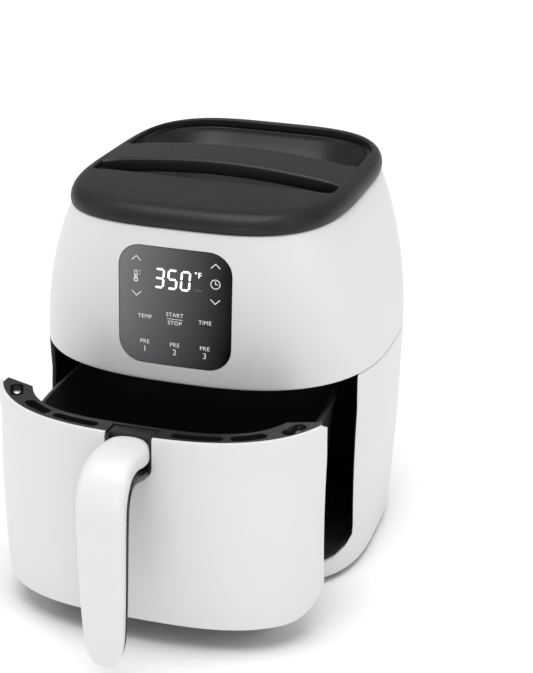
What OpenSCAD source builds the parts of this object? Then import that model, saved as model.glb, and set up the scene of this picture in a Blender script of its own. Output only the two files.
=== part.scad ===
// Digital air fryer with a slide-out drawer, a touch panel and a carry bar.
// Millimetres.  +X is the right side, -Y the front, +Z up, Z = 0 the table.
// The drawer is drawn pulled out by drawer_open.

/* [Body] */
// Width of the housing at its widest level
body_w = 229; // [214:1:276]
// Front half depth of the housing at its widest level
front_depth = 117; // [108:1:138]
// Back half depth of the housing at its widest level
back_depth = 116; // [108:1:138]
// Height of the lid seat above the table
lid_seat_z = 246; // [236:1:290]
// Height of the widest level above the table
belly_z = 121; // [100:1:140]
// How much narrower each side is at the foot
base_tuck = 6; // [3:0.5:8]
// How much narrower each side is at the lid seat
shoulder_tuck = 26; // [18:1:28]
// Wall of the white housings
wall = 2.4; // [2:0.1:2.8]
// Height of the rubber feet
foot_h = 4; // [3:0.5:6]
// Depth of the groove between the two housings
seam_groove = 0.7; // [0.4:0.1:1]

/* [Drawer bay] */
// Height of the seam above the drawer
seam_z = 146.5; // [140:0.5:150]
// Top of the white sill below the drawer
sill_z = 17.1; // [15:0.1:20]
// Half width of the drawer opening
opening_half = 104.5; // [100:0.5:105]
// Radius of the lower corners of the opening
opening_r = 16; // [10:1:20]
// Wall of the black bay liner
liner_wall = 1.8; // [1.4:0.1:2]
// How far the drawer is pulled out
drawer_open = 80; // [0:1:110]

/* [Basket] */
// Half width of the basket at its rim
basket_half = 87; // [80:1:90]
// Depth of the basket's rim below the drawer's top
rim_drop = 22.5; // [16:0.5:30]
// Depth of the basket in front of the bay centre
basket_front = 98; // [90:1:99]
// Depth of the basket behind the bay centre
basket_back = 80; // [74:1:82]
// Wall of the basket
basket_wall = 1.6; // [1.2:0.1:2]
// Slope of the basket walls from rim to floor
basket_draft = 6; // [4:1:9]
// Thickness of the crisper tray
tray_thick = 1.6; // [1.2:0.1:2.4]
// Height of the crisper tray above the basket floor
tray_lift = 12; // [9:1:16]
// Radius of the tray's air holes
tray_hole_r = 3; // [2:0.25:3.5]

/* [Handle] */
// Width of the grip at its knee
grip_w = 29; // [24:1:32]
// Thickness of the grip
grip_t = 14; // [12:1:16]
// Distance from the drawer face to the middle of the grip
grip_reach = 41; // [36:1:48]

/* [Lid] */
// Height of the lid above its seat
lid_h = 13.5; // [11:0.5:15]
// Rise of the carry bar above the lid
bar_rise = 4.5; // [3:0.5:5]
// Half width of the lid openings
lid_open_half = 79.5; // [72:0.5:80]

/* [Touch panel] */
// Width of the touch panel
panel_w = 72; // [64:1:76]
// Height of the touch panel
panel_h = 76; // [66:1:78]
// Corner radius of the touch panel
panel_r = 14.5; // [8:0.5:18]
// Height of the centre of the touch panel
panel_z = 196; // [192:1:200]

/* [Air works] */
// Radius of the heater chamber
chamber_r = 84; // [78:1:85]
// Height of the heater chamber
chamber_h = 38; // [36:1:40]
// Radius of the convection fan
fan_r = 50; // [42:1:52]
// Radius of the cooling fan
cooler_r = 38; // [32:1:39]
// Radius of the motor shaft
shaft_r = 2.5; // [2:0.1:3]
// Radius of the heating tube
heater_tube_r = 3.2; // [2.8:0.1:3.6]

/* [Mounts] */
// Radius of the rubber feet
foot_r = 9; // [7:0.5:11]
// Half spacing of the feet across
foot_x = 72; // [64:1:74]
// Front and back spacing of the feet from the centre
foot_y = 66; // [58:1:68]
// Bore radius of the cord gland
gland_bore_r = 3.6; // [3:0.1:4.2]

/* [Hidden] */

// Shape of the housing: a rounded square that swells to the belly level.
ring_points = 72;
half_w = body_w / 2;
front_tuck = 16;
back_tuck = 9;
square_belly = 2.5;
square_base = 3.1;
square_lid = 3.4;
basket_square = 3.4;
function below(z) = max(0, min(1, (belly_z - z) / (belly_z - foot_h)));
function above(z) = max(0, min(1, (z - belly_z) / (lid_seat_z - belly_z)));
function swell(mid, low, top, z) =
    mid - (mid - low) * pow(below(z), 1.6) - (mid - top) * pow(above(z), 2.4);
function side_at(z) = swell(half_w, half_w - base_tuck, half_w - shoulder_tuck, z);
function front_at(z) = swell(front_depth, front_depth - front_tuck, front_depth, z);
function back_at(z) = swell(back_depth, back_depth - back_tuck, back_depth, z);
function square_at(z) = square_belly + (square_base - square_belly) * below(z)
    + (square_lid - square_belly) * above(z);
function bend(v, e) = sign(v) * pow(abs(v), e);
function squircle(a, f, b, n) = [for (i = [0:ring_points - 1]) let (t = 360 * i / ring_points)
    [a * bend(cos(t), 2 / n), (sin(t) < 0 ? f : b) * bend(sin(t), 2 / n)]];
function lift(outline, z) = [for (p = outline) [p[0], p[1], z]];
function body_outline(z, inset) = squircle(side_at(z) - inset, front_at(z) - inset,
    back_at(z) - inset, square_at(z));
function body_ring(z, inset) = lift(body_outline(z, inset), z);
function steps(z0, z1, n) = [for (i = [0:n]) z0 + (z1 - z0) * i / n];
// Half depth of a body ring at a given distance from the middle plane.
function reach(depth, z, inset, x) =
    (depth - inset) * pow(1 - pow(abs(x) / (side_at(z) - inset), square_at(z)), 1 / square_at(z));
// Outline with rounded corners: each corner is [x, y, radius], listed counterclockwise.
corner_steps = 7;
function arc_at(c, r, a0, a1) = [for (i = [0:corner_steps])
    let (a = a0 + (a1 - a0) * i / corner_steps) [c[0] + r * cos(a), c[1] + r * sin(a)]];
function round_box(x0, y0, x1, y1, r0, r1) = concat(
    arc_at([x1 - r0, y0 + r0], r0, -90, 0), arc_at([x1 - r1, y1 - r1], r1, 0, 90),
    arc_at([x0 + r1, y1 - r1], r1, 90, 180), arc_at([x0 + r0, y0 + r0], r0, 180, 270));

// Seats that several parts share.
fit_gap = 0.25;
panel_gap = 0.6;
run_gap = 0.04;
screw_gap = 0.05;
shell_gap = 0.4;
plate = 1.2;
board_t = 1.6;
groove_h = 0.6;
bay_floor = sill_z + liner_wall;
basket_gap = 2.4;
basket_floor = bay_floor + basket_gap;
basket_top = seam_z - rim_drop;
bay_back = 89;
bay_back_r = 56;
work_y = (bay_back - basket_front) / 2;
ceiling_z = seam_z + 0.5;
ceiling_t = 2.4;
chamber_z = ceiling_z + ceiling_t;
chamber_top = chamber_z + chamber_h;
cooler_z = chamber_top + 4;
cooler_h = 8;
bracket_z = cooler_z + cooler_h + 3;
stator_z = bracket_z + plate;
stator_h = 18;
stator_w = 54;
stator_d = 44;
rotor_r = 13;
motor_gap = 0.35;
cap_z = stator_z + stator_h;
fan_z = chamber_z + 20;
fan_h = 10;
bowl_floor = cap_z + 8;
bowl_t = 1.6;
face_y = front_at(panel_z);
board_y = -face_y + 9;
lid_top = lid_seat_z + lid_h;
lid_wall = 2.6;
slot_y0 = -52;
bar_y0 = -29;
bar_y1 = 14;
rear_y1 = 101;
slot_r = 6;
rear_r = 48;
bar_t = 9;
bar_sink = 1.1;
notch_half = 14.5;
basket_edge = 1.2;
notch_z = 119;
trim_z = seam_z - 7;
bracket_inset = 0.6;
bracket_deep = 14;
bracket_room = 0.5;
bracket_back = -front_depth + bracket_inset + bracket_deep;
seat_y = (front_at(seam_z) + drawer_open + grip_reach + grip_t / 2 - back_depth - 2) / 2;

// Closed skin through a list of rings.  A looped skin joins its last ring to its first.
module skin(rings, looped = false) {
    n = len(rings[0]);
    m = len(rings);
    last = looped ? m - 1 : m - 2;
    sides = [for (r = [0:last], i = [0:n - 1], k = [0, 1])
        let (a = r * n + i, b = r * n + (i + 1) % n, q = ((r + 1) % m) * n)
        let (c = q + (i + 1) % n, d = q + i)
        k == 0 ? [a, d, c] : [a, c, b]];
    caps = looped ? [] : [[for (i = [0:n - 1]) i], [for (i = [n - 1:-1:0]) (m - 1) * n + i]];
    polyhedron(points = [for (r = rings, p = r) p], faces = concat(sides, caps));
}

// Wall of the housing between two levels, with an inset outside and a thickness.
module body_wall(z0, z1, inset, t, n) {
    up = [for (z = steps(z0, z1, n)) body_ring(z, inset)];
    down = [for (z = steps(z1, z0, n)) body_ring(z, inset + t)];
    skin(concat(up, down), true);
}

// Solid inside the housing's surface, between two levels.
module body_core(z0, z1, inset, n) {
    skin([for (z = steps(z0, z1, n)) body_ring(z, inset)]);
}

// Prism with its outline in the XZ plane, from y0 back to y1.
module front_prism(outline, y0, y1) {
    translate([0, y1, 0])
        rotate([90, 0, 0])
            linear_extrude(y1 - y0)
                polygon(outline);
}

// Screw along +Z with its head below z = 0.
module screw(shank_r, shank_l, head_r, head_h) {
    translate([0, 0, -head_h])
        cylinder(h = head_h, r = head_r, $fn = 32);
    cylinder(h = shank_l, r = shank_r, $fn = 24);
}

module foot_places() {
    for (x = [-foot_x, foot_x], y = [-foot_y, foot_y])
        translate([x, y, 0])
            children();
}

// Opening of the drawer in the XZ plane, made larger by grow.
function opening_outline(grow) = round_box(-opening_half - grow, sill_z - grow,
    opening_half + grow, seam_z + 20, opening_r + grow, 1);

module panel_prism(grow) {
    w = panel_w / 2 + grow;
    h = panel_h / 2 + grow;
    front_prism(round_box(-w, panel_z - h, w, panel_z + h, panel_r + grow, panel_r + grow),
        -front_depth - 10, -face_y + 20);
}

// ---------------------------------------------------------------- housing
cover_post_r = 3.6;
cover_post_y = rear_y1 + cover_post_r + 3;
cover_post = [[-50, -92], [50, -92], [-20, cover_post_y], [20, cover_post_y]];
cover_post_drop = 4;
cover_screw_r = 1.5;
bowl_flange_t = 2;
module cover_posts(r, z0, z1) {
    for (p = cover_post)
        translate([p[0], p[1], z0])
            cylinder(h = z1 - z0, r = r, $fn = 32);
}

board_screw_r = 1.2;
board_half = panel_w / 2 + 9;
board_screw_x = board_half - 4;
// Places on the front of the board, each facing the housing wall.
module board_screw_places() {
    for (x = [-board_screw_x, board_screw_x], k = [-1, 1])
        translate([x, board_y, panel_z + k * (panel_h / 2 - 6)])
            rotate([90, 0, 0])
                children();
}

module board_boss() {
    top = panel_z + panel_h / 2 - 6;
    cylinder(h = reach(front_at(top), top, wall / 2, board_screw_x) + board_y, r = 3, $fn = 32);
}

grille_half = 32;
grille_z0 = chamber_z + 4;
grille_z1 = chamber_z + 30;
gland_z = 30;
gland_r = 8;
gland_face = back_at(gland_z) - 1;

module upper_housing() {
    color("whitesmoke") {
        difference() {
            skin(concat([body_ring(seam_z, seam_groove)],
                [for (z = steps(seam_z + groove_h, lid_seat_z, 9)) body_ring(z, 0)],
                [for (z = steps(lid_seat_z, seam_z, 9)) body_ring(z, wall)]), true);
            panel_prism(fit_gap);
            translate([-grille_half, 60, grille_z0])
                cube([2 * grille_half, 80, grille_z1 - grille_z0]);
        }
        difference() {
            board_screw_places()
                board_boss();
            board_screw_places()
                cylinder(h = 5, r = board_screw_r + screw_gap, $fn = 24);
        }
    }
}

module lower_housing() {
    color("whitesmoke") {
        difference() {
            union() {
                skin(concat([body_ring(foot_h, 1.2)],
                    [for (z = steps(foot_h + 1.5, seam_z - groove_h, 10)) body_ring(z, 0)],
                    [body_ring(seam_z, seam_groove)],
                    [for (z = steps(seam_z, foot_h, 10)) body_ring(z, wall)]), true);
                translate([0, gland_face, gland_z])
                    rotate([90, 0, 0])
                        cylinder(h = 8, r = gland_r + 5, $fn = 48);
                base_screw_places()
                    translate([0, 0, foot_h + base_t])
                        cylinder(h = base_boss_h, r = base_boss_r, $fn = 32);
                intersection() {
                    body_core(foot_h, foot_h + base_t + base_boss_h, wall / 2, 3);
                    for (side = [-1, 1], y = [-base_screw_front, base_screw_back])
                        translate([side > 0 ? base_screw_x : -half_w, y - base_rib_t / 2,
                            foot_h + base_t])
                            cube([half_w - base_screw_x, base_rib_t, base_boss_h]);
                }
            }
            base_screw_places()
                cylinder(h = foot_h + base_t + 7, r = 1.5 + screw_gap, $fn = 24);
            front_prism(opening_outline(0), -front_depth - 10, -30);
            translate([0, gland_face + 12, gland_z])
                rotate([90, 0, 0])
                    cylinder(h = 12, r = gland_r + 3.3, $fn = 48);
            translate([0, gland_face + 12, gland_z])
                rotate([90, 0, 0])
                    cylinder(h = 40, r = gland_r + screw_gap, $fn = 48);
        }
    }
}

base_t = 2.4;
base_screw_x = side_at(foot_h) - 22.5;
base_screw_front = front_at(foot_h) - 37;
base_screw_back = back_at(foot_h) - 39;
base_boss_r = 8;
base_boss_h = 9;
base_rib_t = 4;
module base_screw_places() {
    for (x = [-base_screw_x, base_screw_x], y = [-base_screw_front, base_screw_back])
        translate([x, y, 0])
            children();
}

module base_plate() {
    color("dimgray") {
        difference() {
            translate([0, 0, foot_h])
                linear_extrude(base_t)
                    polygon(body_outline(foot_h, wall + fit_gap));
            base_screw_places()
                cylinder(h = 20, r = 1.5 + screw_gap, $fn = 24);
            for (x = [-44:8:44])
                translate([x - 1.5, -35, 0])
                    cube([3, 70, 20]);
        }
    }
}

module base_screws() {
    color("silver")
        base_screw_places()
            translate([0, 0, foot_h])
                screw(1.5, 8, 3, 1.6);
}

module rubber_feet() {
    color("black")
        foot_places()
            cylinder(h = foot_h, r = foot_r, $fn = 48);
}

// Lid: a rounded shoulder, a soft crease and an almost flat top.
function lid_ring(z, inset) = lift(squircle(side_at(lid_seat_z) - inset,
    front_depth - inset, back_depth - inset, square_lid), z);
lid_levels = [[0, 0.2], [0.05, -0.9], [0.3, -1.1], [0.55, -0.3], [0.75, 1.6], [0.9, 4.6],
    [0.96, 7.5], [0.97, 16], [1, 24], [1, 60]];

module lid_opening(x, y0, y1, r0, r1, z0) {
    translate([0, 0, z0])
        linear_extrude(40)
            polygon(round_box(-x, y0, x, y1, r0, r1));
}

module carry_bar() {
    half = lid_open_half + 3;
    bar_x = steps(-half, half, 12);
    mid = (bar_y0 + bar_y1) / 2;
    deep = (bar_y1 - bar_y0) / 2;
    skin([for (x = bar_x) let (z = lid_top - bar_t / 2 - bar_sink + bar_rise * (1 - pow(x / half, 2)))
        [for (i = [0:23]) let (t = 360 * i / 24)
            [x, mid + deep * bend(cos(t), 0.35), z + bar_t / 2 * bend(sin(t), 0.5)]]]);
}

module top_cover() {
    color("#3d3d3f") {
        difference() {
            union() {
                difference() {
                    skin([for (q = lid_levels) lid_ring(lid_seat_z + lid_h * q[0], q[1])]);
                    skin(concat([lid_ring(lid_seat_z - 2, lid_wall)],
                        [for (q = lid_levels) if (q[0] > 0.2)
                            lid_ring(lid_seat_z + lid_h * q[0] - lid_wall, q[1] + lid_wall + 0.4)]));
                    lid_opening(lid_open_half, slot_y0, rear_y1, slot_r, rear_r, lid_seat_z);
                }
                cover_posts(cover_post_r, lid_seat_z - cover_post_drop, lid_top - lid_wall / 2);
            }
            cover_posts(cover_screw_r + screw_gap, lid_seat_z - cover_post_drop - 1, lid_seat_z + 8);
        }
        carry_bar();
    }
}

bowl_half = lid_open_half + 1.5;
module intake_bowl() {
    color("#2b2b2d") {
        difference() {
            union() {
                translate([0, 0, bowl_floor])
                    linear_extrude(lid_top - lid_wall - 4.6 - bowl_floor)
                        polygon(round_box(-bowl_half, slot_y0 - 1.5, bowl_half, rear_y1 + 1.5, slot_r + 1.5,
                            rear_r + 1.5));
                translate([0, 0, lid_seat_z - cover_post_drop - bowl_flange_t])
                    linear_extrude(bowl_flange_t)
                        polygon(body_outline(lid_seat_z, wall + 0.6));
            }
            translate([0, 0, bowl_floor + bowl_t])
                linear_extrude(60)
                    polygon(round_box(-bowl_half + bowl_t, slot_y0 + 0.1, bowl_half - bowl_t,
                        rear_y1 - 0.1, slot_r, rear_r));
            for (x = [-60:8:60])
                translate([x - 1.75, bar_y0 + 4, bowl_floor - 1])
                    cube([3.5, 60, 6]);
            translate([-bowl_half - 1, bar_y0 - 0.5, lid_top - bar_t - 0.9])
                cube([2 * bowl_half + 2, bar_y1 - bar_y0 + 1, 20]);
            cover_posts(cover_screw_r + screw_gap, lid_seat_z - 10, lid_seat_z + 4);
        }
    }
}

module top_cover_screws() {
    color("silver")
        for (p = cover_post)
            translate([p[0], p[1], lid_seat_z - cover_post_drop - bowl_flange_t])
                screw(cover_screw_r, 10, 3, 1.6);
}

// ------------------------------------------------------------ touch panel
lens_t = 2;
lens_sink = 0.2;
module touch_panel_lens() {
    color("#141415")
        intersection() {
            body_wall(panel_z - panel_h / 2 - 3, panel_z + panel_h / 2 + 3, lens_sink, lens_t, 6);
            panel_prism(0);
        }
}

display_w = 36;
display_h = 20;
display_z = panel_z + 18;
module display_module() {
    color("#202224")
        difference() {
            translate([-display_w / 2, board_y - 4.5, display_z - display_h / 2])
                cube([display_w, 4.5, display_h]);
            translate([-display_w / 2 + 2, board_y - 5, display_z - display_h / 2 + 2])
                cube([display_w - 4, 1.5, display_h - 4]);
        }
}

module control_board() {
    color("darkgreen")
        difference() {
            union() {
                translate([-board_half, board_y, panel_z - panel_h / 2])
                    cube([2 * board_half, board_t, panel_h]);
                for (x = [-16, 8])
                    translate([x, board_y + board_t, panel_z - 14])
                        cube([9, 1.8, 9]);
                translate([-10, board_y + board_t, panel_z - 34])
                    cube([20, 6, 5]);
            }
            board_screw_places()
                translate([0, 0, -10])
                    cylinder(h = 20, r = board_screw_r + screw_gap, $fn = 24);
        }
}

module board_screws() {
    color("silver")
        board_screw_places()
            translate([0, 0, -board_t])
                screw(board_screw_r, 5, 2.4, 1.2);
}

key_x = [-24, 24];
key_z = [panel_z + 3, panel_z + 26];
module touch_springs() {
    color("goldenrod") {
        for (x = key_x, z = key_z)
            spring_pin(x, z);
        for (x = [-20, 0, 20], z = [panel_z - 10, panel_z - 28])
            spring_pin(x, z);
    }
}

// Contact pin from the control board to the back of the lens.
module spring_pin(x, z) {
    pin = -reach(front_at(z), z, lens_sink + lens_t, abs(x) + 3) + 0.6;
    translate([x, board_y, z])
        rotate([90, 0, 0]) {
            cylinder(h = board_y - pin, r = 1.4, $fn = 16);
            cylinder(h = 1.2, r = 3, $fn = 24);
        }
}

// -------------------------------------------------------------------- bay
liner_top = ceiling_z;
switch_x = 40;
switch_z = basket_top - 2.5;
plunger_r = 2;
// Plan outline of the bay, made larger by grow, from the front edge back.
function bay_plan(grow, front) = round_box(-opening_half - grow, front,
    opening_half + grow, bay_back + grow, 1, bay_back_r + grow);

module bay_block(grow, front, top) {
    intersection() {
        translate([0, 0, sill_z - 10])
            linear_extrude(top - sill_z + 10)
                polygon(bay_plan(grow, front));
        front_prism(opening_outline(grow), front - 1, bay_back + 20);
    }
}

rail_x = 58;
module bay_liner() {
    color("#161616") {
        difference() {
            intersection() {
                bay_block(-0.1, -front_depth, liner_top);
                body_core(sill_z - 5, liner_top + 1, wall + 0.8, 8);
            }
            bay_block(-liner_wall, -front_depth - 2, liner_top + 5);
            translate([switch_x, bay_back + 5, switch_z])
                rotate([90, 0, 0])
                    cylinder(h = 12, r = plunger_r + 0.5, $fn = 32);
        }
        for (x = [-rail_x, rail_x])
            translate([x - 2, -60, bay_floor - 0.4])
                cube([4, 120, 2]);
        for (x = [-rail_x, rail_x], y = [-45, 45])
            translate([x, y, foot_h + base_t])
                cylinder(h = sill_z + 0.5 - foot_h - base_t, r = 4, $fn = 32);
    }
}

module bay_ceiling() {
    color("#1a1a1a")
        difference() {
            translate([0, 0, ceiling_z])
                linear_extrude(ceiling_t)
                    polygon(squircle(side_at(seam_z) - wall - 1, front_at(seam_z) - wall - 1,
                        back_at(seam_z) - wall - 1, square_at(seam_z)));
            translate([0, work_y, ceiling_z - 1])
                cylinder(h = 10, r = chamber_r - 2, $fn = 96);
            chamber_screw_places()
                translate([0, 0, ceiling_z - 1])
                    cylinder(h = 10, r = 1.5 + screw_gap, $fn = 24);
            translate([lead_hole[0], lead_hole[1], ceiling_z - 1])
                cylinder(h = 10, r = lead_r + 2.4, $fn = 32);
        }
}

// -------------------------------------------------------------- air works
duct_half = 30;
module chamber_screw_places() {
    for (a = [45:90:315])
        translate([(chamber_r + 6) * cos(a), work_y + (chamber_r + 6) * sin(a), 0])
            children();
}

sensor_x = -30;
cutout_x = 34;
works_y = work_y - 52;
terminal_x = 14;
terminal_y = work_y + 62;
post_r = 3;
post_x = 40;
post_y = 16;
module bracket_posts(r, z0, h) {
    for (x = [-post_x, post_x], y = [-post_y, post_y])
        translate([x, work_y + y, z0])
            cylinder(h = h, r = r, $fn = 32);
}

module heater_chamber() {
    color("silver")
        difference() {
            union() {
                translate([0, work_y, chamber_z])
                    cylinder(h = plate, r = chamber_r + 11, $fn = 96);
                translate([0, work_y, chamber_z])
                    cylinder(h = chamber_h, r = chamber_r, $fn = 96);
            }
            translate([0, work_y, chamber_z - 1])
                cylinder(h = chamber_h - plate + 1, r = chamber_r - plate, $fn = 96);
            translate([0, work_y, chamber_top - 5])
                cylinder(h = 10, r = shaft_r + 3, $fn = 48);
            chamber_screw_places()
                translate([0, 0, chamber_z - 1])
                    cylinder(h = 5, r = 1.5 + screw_gap, $fn = 24);
            translate([-duct_half + plate, 0, grille_z0 + plate])
                cube([2 * duct_half - 2 * plate, 120, grille_z1 - grille_z0 - 2 * plate]);
            for (x = [-terminal_x, terminal_x])
                translate([x, terminal_y, chamber_top - 5])
                    cylinder(h = 10, r = heater_tube_r + 0.8, $fn = 32);
            translate([sensor_x, works_y, chamber_top - 5])
                cylinder(h = 10, r = 2.2, $fn = 24);
        }
}

module chamber_screws() {
    color("gainsboro")
        chamber_screw_places()
            translate([0, 0, chamber_z + plate])
                mirror([0, 0, 1])
                    screw(1.5, 5, 3, 1.6);
}

heater_z = fan_z - 11;
coil_radii = [44, 58, 72];
module heating_element() {
    color("dimgray")
        translate([0, work_y, heater_z]) {
            for (r = coil_radii)
                rotate_extrude($fn = 96)
                    translate([r, 0])
                        circle(r = heater_tube_r, $fn = 24);
            for (k = [0, 1])
                rotate([0, 0, k == 0 ? 0 : 180])
                    translate([coil_radii[k], 0, 0])
                        rotate([0, 90, 0])
                            cylinder(h = 14, r = heater_tube_r - 0.4, $fn = 24);
            for (x = [-terminal_x, terminal_x]) {
                translate([x, terminal_y - work_y, 0])
                    cylinder(h = chamber_top + 9 - heater_z, r = heater_tube_r, $fn = 24);
                translate([x, 57, 0])
                    rotate([-90, 0, 0])
                        cylinder(h = terminal_y - work_y - 57 + 3, r = heater_tube_r - 0.3, $fn = 24);
            }
        }
}

module heater_clips() {
    color("silver")
        for (a = [30, 150, 270])
            translate([0, work_y, 0])
                rotate([0, 0, a])
                    difference() {
                        translate([38, -2, heater_z - 5])
                            cube([chamber_r - plate - 38.05, 4, 10.5]);
                        for (r = coil_radii)
                            translate([r, -5, heater_z])
                                rotate([-90, 0, 0])
                                    cylinder(h = 10, r = heater_tube_r + 0.7, $fn = 32);
                        translate([30, -5, heater_z - 10])
                            cube([chamber_r - plate - 38, 10, 10]);
                    }
}

module temperature_sensor() {
    color("silver")
        translate([sensor_x, works_y, 0]) {
            translate([0, 0, fan_z + fan_h + 3])
                cylinder(h = chamber_top + 4 - fan_z - fan_h - 3, r = 2, $fn = 24);
            translate([0, 0, chamber_top])
                cylinder(h = 3, r = 4, $fn = 32);
        }
}

module thermal_cutout() {
    color("tan")
        translate([cutout_x, works_y, chamber_top]) {
            cylinder(h = 1.2, r = 9, $fn = 48);
            cylinder(h = 9, r = 6.5, $fn = 48);
            for (x = [-4, 4])
                translate([x - 0.4, -2.5, 8.5])
                    cube([0.8, 5, 6]);
        }
}

bush_r = 5;
bush_h = 5;
module motor_bracket() {
    color("silver") {
        difference() {
            translate([-post_x - 5, work_y - post_y - 5, bracket_z])
                cube([2 * post_x + 10, 2 * post_y + 10, plate]);
            translate([0, work_y, bracket_z - 1])
                cylinder(h = 5, r = bush_r, $fn = 48);
        }
        bracket_posts(post_r, chamber_top, bracket_z - chamber_top);
        difference() {
            union() {
                translate([-stator_w / 2 + 2, work_y - 7, cap_z])
                    cube([stator_w - 4, 14, plate]);
                for (x = [-stator_w / 2 - plate, stator_w / 2])
                    translate([x, work_y - 7, stator_z])
                        cube([plate, 14, stator_h + plate]);
                for (x = [-stator_w / 2 - plate, stator_w / 2 - 4])
                    translate([x, work_y - 7, cap_z])
                        cube([plate + 4, 14, plate]);
            }
            translate([0, work_y, cap_z - 1])
                cylinder(h = 5, r = bush_r, $fn = 48);
        }
    }
}

module motor_stator() {
    color("slategray")
        difference() {
            translate([-stator_w / 2, work_y - stator_d / 2, stator_z])
                cube([stator_w, stator_d, stator_h]);
            translate([0, work_y, stator_z - 1])
                cylinder(h = stator_h + 2, r = rotor_r + motor_gap, $fn = 64);
            for (y = [-stator_d / 2 - 1, rotor_r + 3])
                translate([-stator_w / 2 - 1, work_y + y, stator_z - 1])
                    cube([10, stator_d / 2 - rotor_r - 2, stator_h + 2]);
        }
}

module motor_coils() {
    color("peru")
        for (y = [-1, 1])
            translate([-stator_w / 2 - 2 - 8, work_y + y * (stator_d / 2 - 3) - 4.5, stator_z + 2])
                cube([8, 9, stator_h - 4]);
}

module motor_bushes() {
    color("darkgoldenrod")
        for (z = [bracket_z - bush_h + plate, cap_z])
            difference() {
                translate([0, work_y, z])
                    cylinder(h = bush_h, r = bush_r, $fn = 48);
                translate([0, work_y, z - 1])
                    cylinder(h = bush_h + 2, r = shaft_r + run_gap, $fn = 48);
            }
}

board_x0 = -86;
board_x1 = -52;
board_y0 = -58;
board_y1 = 30;
power_z = chamber_top + 8;
module power_board() {
    color("seagreen") {
        difference() {
            translate([board_x0, board_y0, power_z])
                cube([board_x1 - board_x0, board_y1 - board_y0, board_t]);
            for (y = [-45, 20])
                translate([board_x1 - 4, y, power_z - 1])
                    cylinder(h = 5, r = 1.2, $fn = 24);
        }
        for (y = [-35, 10])
            translate([board_x1 - 8, y, chamber_top])
                cylinder(h = power_z - chamber_top, r = 2.5, $fn = 24);
    }
}

module power_components() {
    color("royalblue") {
        translate([board_x0 + 4, board_y0 + 4, power_z + board_t])
            cube([20, 16, 15]);
        translate([board_x0 + 6, board_y0 + 28, power_z + board_t])
            cube([15, 12, 11]);
        translate([board_x0 + 14, board_y1 - 24, power_z + board_t])
            cylinder(h = 14, r = 6, $fn = 32);
        translate([board_x0 + 22, board_y1 - 12, power_z + board_t])
            cylinder(h = 9, r = 4, $fn = 32);
    }
}

duct_y = 112;
module exhaust_duct() {
    color("silver")
        difference() {
            translate([-duct_half, 0, grille_z0])
                cube([2 * duct_half, duct_y - 2, grille_z1 - grille_z0]);
            translate([-duct_half + plate, -1, grille_z0 + plate])
                cube([2 * duct_half - 2 * plate, duct_y + 1, grille_z1 - grille_z0 - 2 * plate]);
            translate([0, work_y, grille_z0 - 1])
                cylinder(h = 60, r = chamber_r + 0.05, $fn = 96);
        }
}

module exhaust_grille() {
    color("#2b2b2d")
        difference() {
            union() {
                translate([-grille_half + 0.2, duct_y - 2, grille_z0 + 0.2])
                    cube([2 * grille_half - 0.4, back_depth - duct_y + 2.5, grille_z1 - grille_z0 - 0.4]);
                translate([-grille_half - 3, back_depth + 0.3, grille_z0 - 3])
                    cube([2 * grille_half + 6, 1.7, grille_z1 - grille_z0 + 6]);
            }
            for (k = [0:6])
                translate([-grille_half + 5, duct_y - 5, grille_z0 + 2.6 + 3.2 * k])
                    cube([2 * grille_half - 10, 20, 1.7]);
        }
}

// Mains lead inside the housing, from the gland up to the power board.
lead_r = 3.3;
lead_path = [[0, 99.5, 30], [0, 97, 30], [0, 94.5, 34], [0, 93.5, 44], [-4, 93.5, 66], [-16, 93.5, 90],
    [-38, 93.5, 116], [-58, 93, 134], [-63, 92.3, 144], [-64, 92, 156], [-66, 86, 172], [-69, 70, 186],
    [-70, 48, 198], [-70, 36, 201]];
lead_hole = [-63.5, 92.2];
function unit(v) = v / norm(v);
function path_heading(path, k) = unit(path[min(k + 1, len(path) - 1)] - path[max(k - 1, 0)]);
module mains_lead() {
    color("#222222")
        skin([for (k = [0:len(lead_path) - 1])
            let (d = path_heading(lead_path, k), u = unit(cross([1, 0.2, 0], d)), v = cross(d, u))
            [for (i = [0:11]) lead_path[k] + lead_r * (cos(30 * i) * u + sin(30 * i) * v)]]);
}

module cord_bushing() {
    color("#1b1b1b")
        difference() {
            union() {
                translate([0, gland_face, gland_z])
                    rotate([-90, 0, 0])
                        cylinder(h = 3, r = gland_r + 3, $fn = 48);
                translate([0, gland_face - 9, gland_z])
                    rotate([-90, 0, 0])
                        cylinder(h = 9, r = gland_r, $fn = 48);
            }
            translate([0, gland_face - 20, gland_z])
                rotate([-90, 0, 0])
                    cylinder(h = 40, r = gland_bore_r, $fn = 48);
        }
}

plunger_tip = 0.3 + (basket_back + basket_edge)
    * pow(1 - pow(switch_x / (basket_half + basket_edge), basket_square), 1 / basket_square);
module door_switch() {
    color("#333333")
        difference() {
            translate([switch_x - 10, bay_back - 0.1, switch_z - 5])
                cube([20, 10, 10]);
            translate([switch_x, bay_back - 1, switch_z])
                rotate([-90, 0, 0])
                    cylinder(h = 9, r = plunger_r + 0.06, $fn = 32);
        }
}

module switch_plunger() {
    color("crimson")
        translate([switch_x, plunger_tip, switch_z])
            rotate([-90, 0, 0])
                cylinder(h = bay_back + 5 - plunger_tip, r = plunger_r, $fn = 32);
}

// ------------------------------------------------------------ spinning parts
hub_r = 7;
module motor_shaft() {
    color("silver")
        translate([0, work_y, fan_z - 9])
            cylinder(h = cap_z + bush_h + 1 - fan_z + 9, r = shaft_r, $fn = 48);
}

module motor_rotor() {
    color("gray")
        difference() {
            translate([0, work_y, stator_z + 0.5])
                cylinder(h = stator_h - 1, r = rotor_r, $fn = 64);
            translate([0, work_y, stator_z - 1])
                cylinder(h = stator_h + 4, r = shaft_r, $fn = 48);
        }
}

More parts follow.
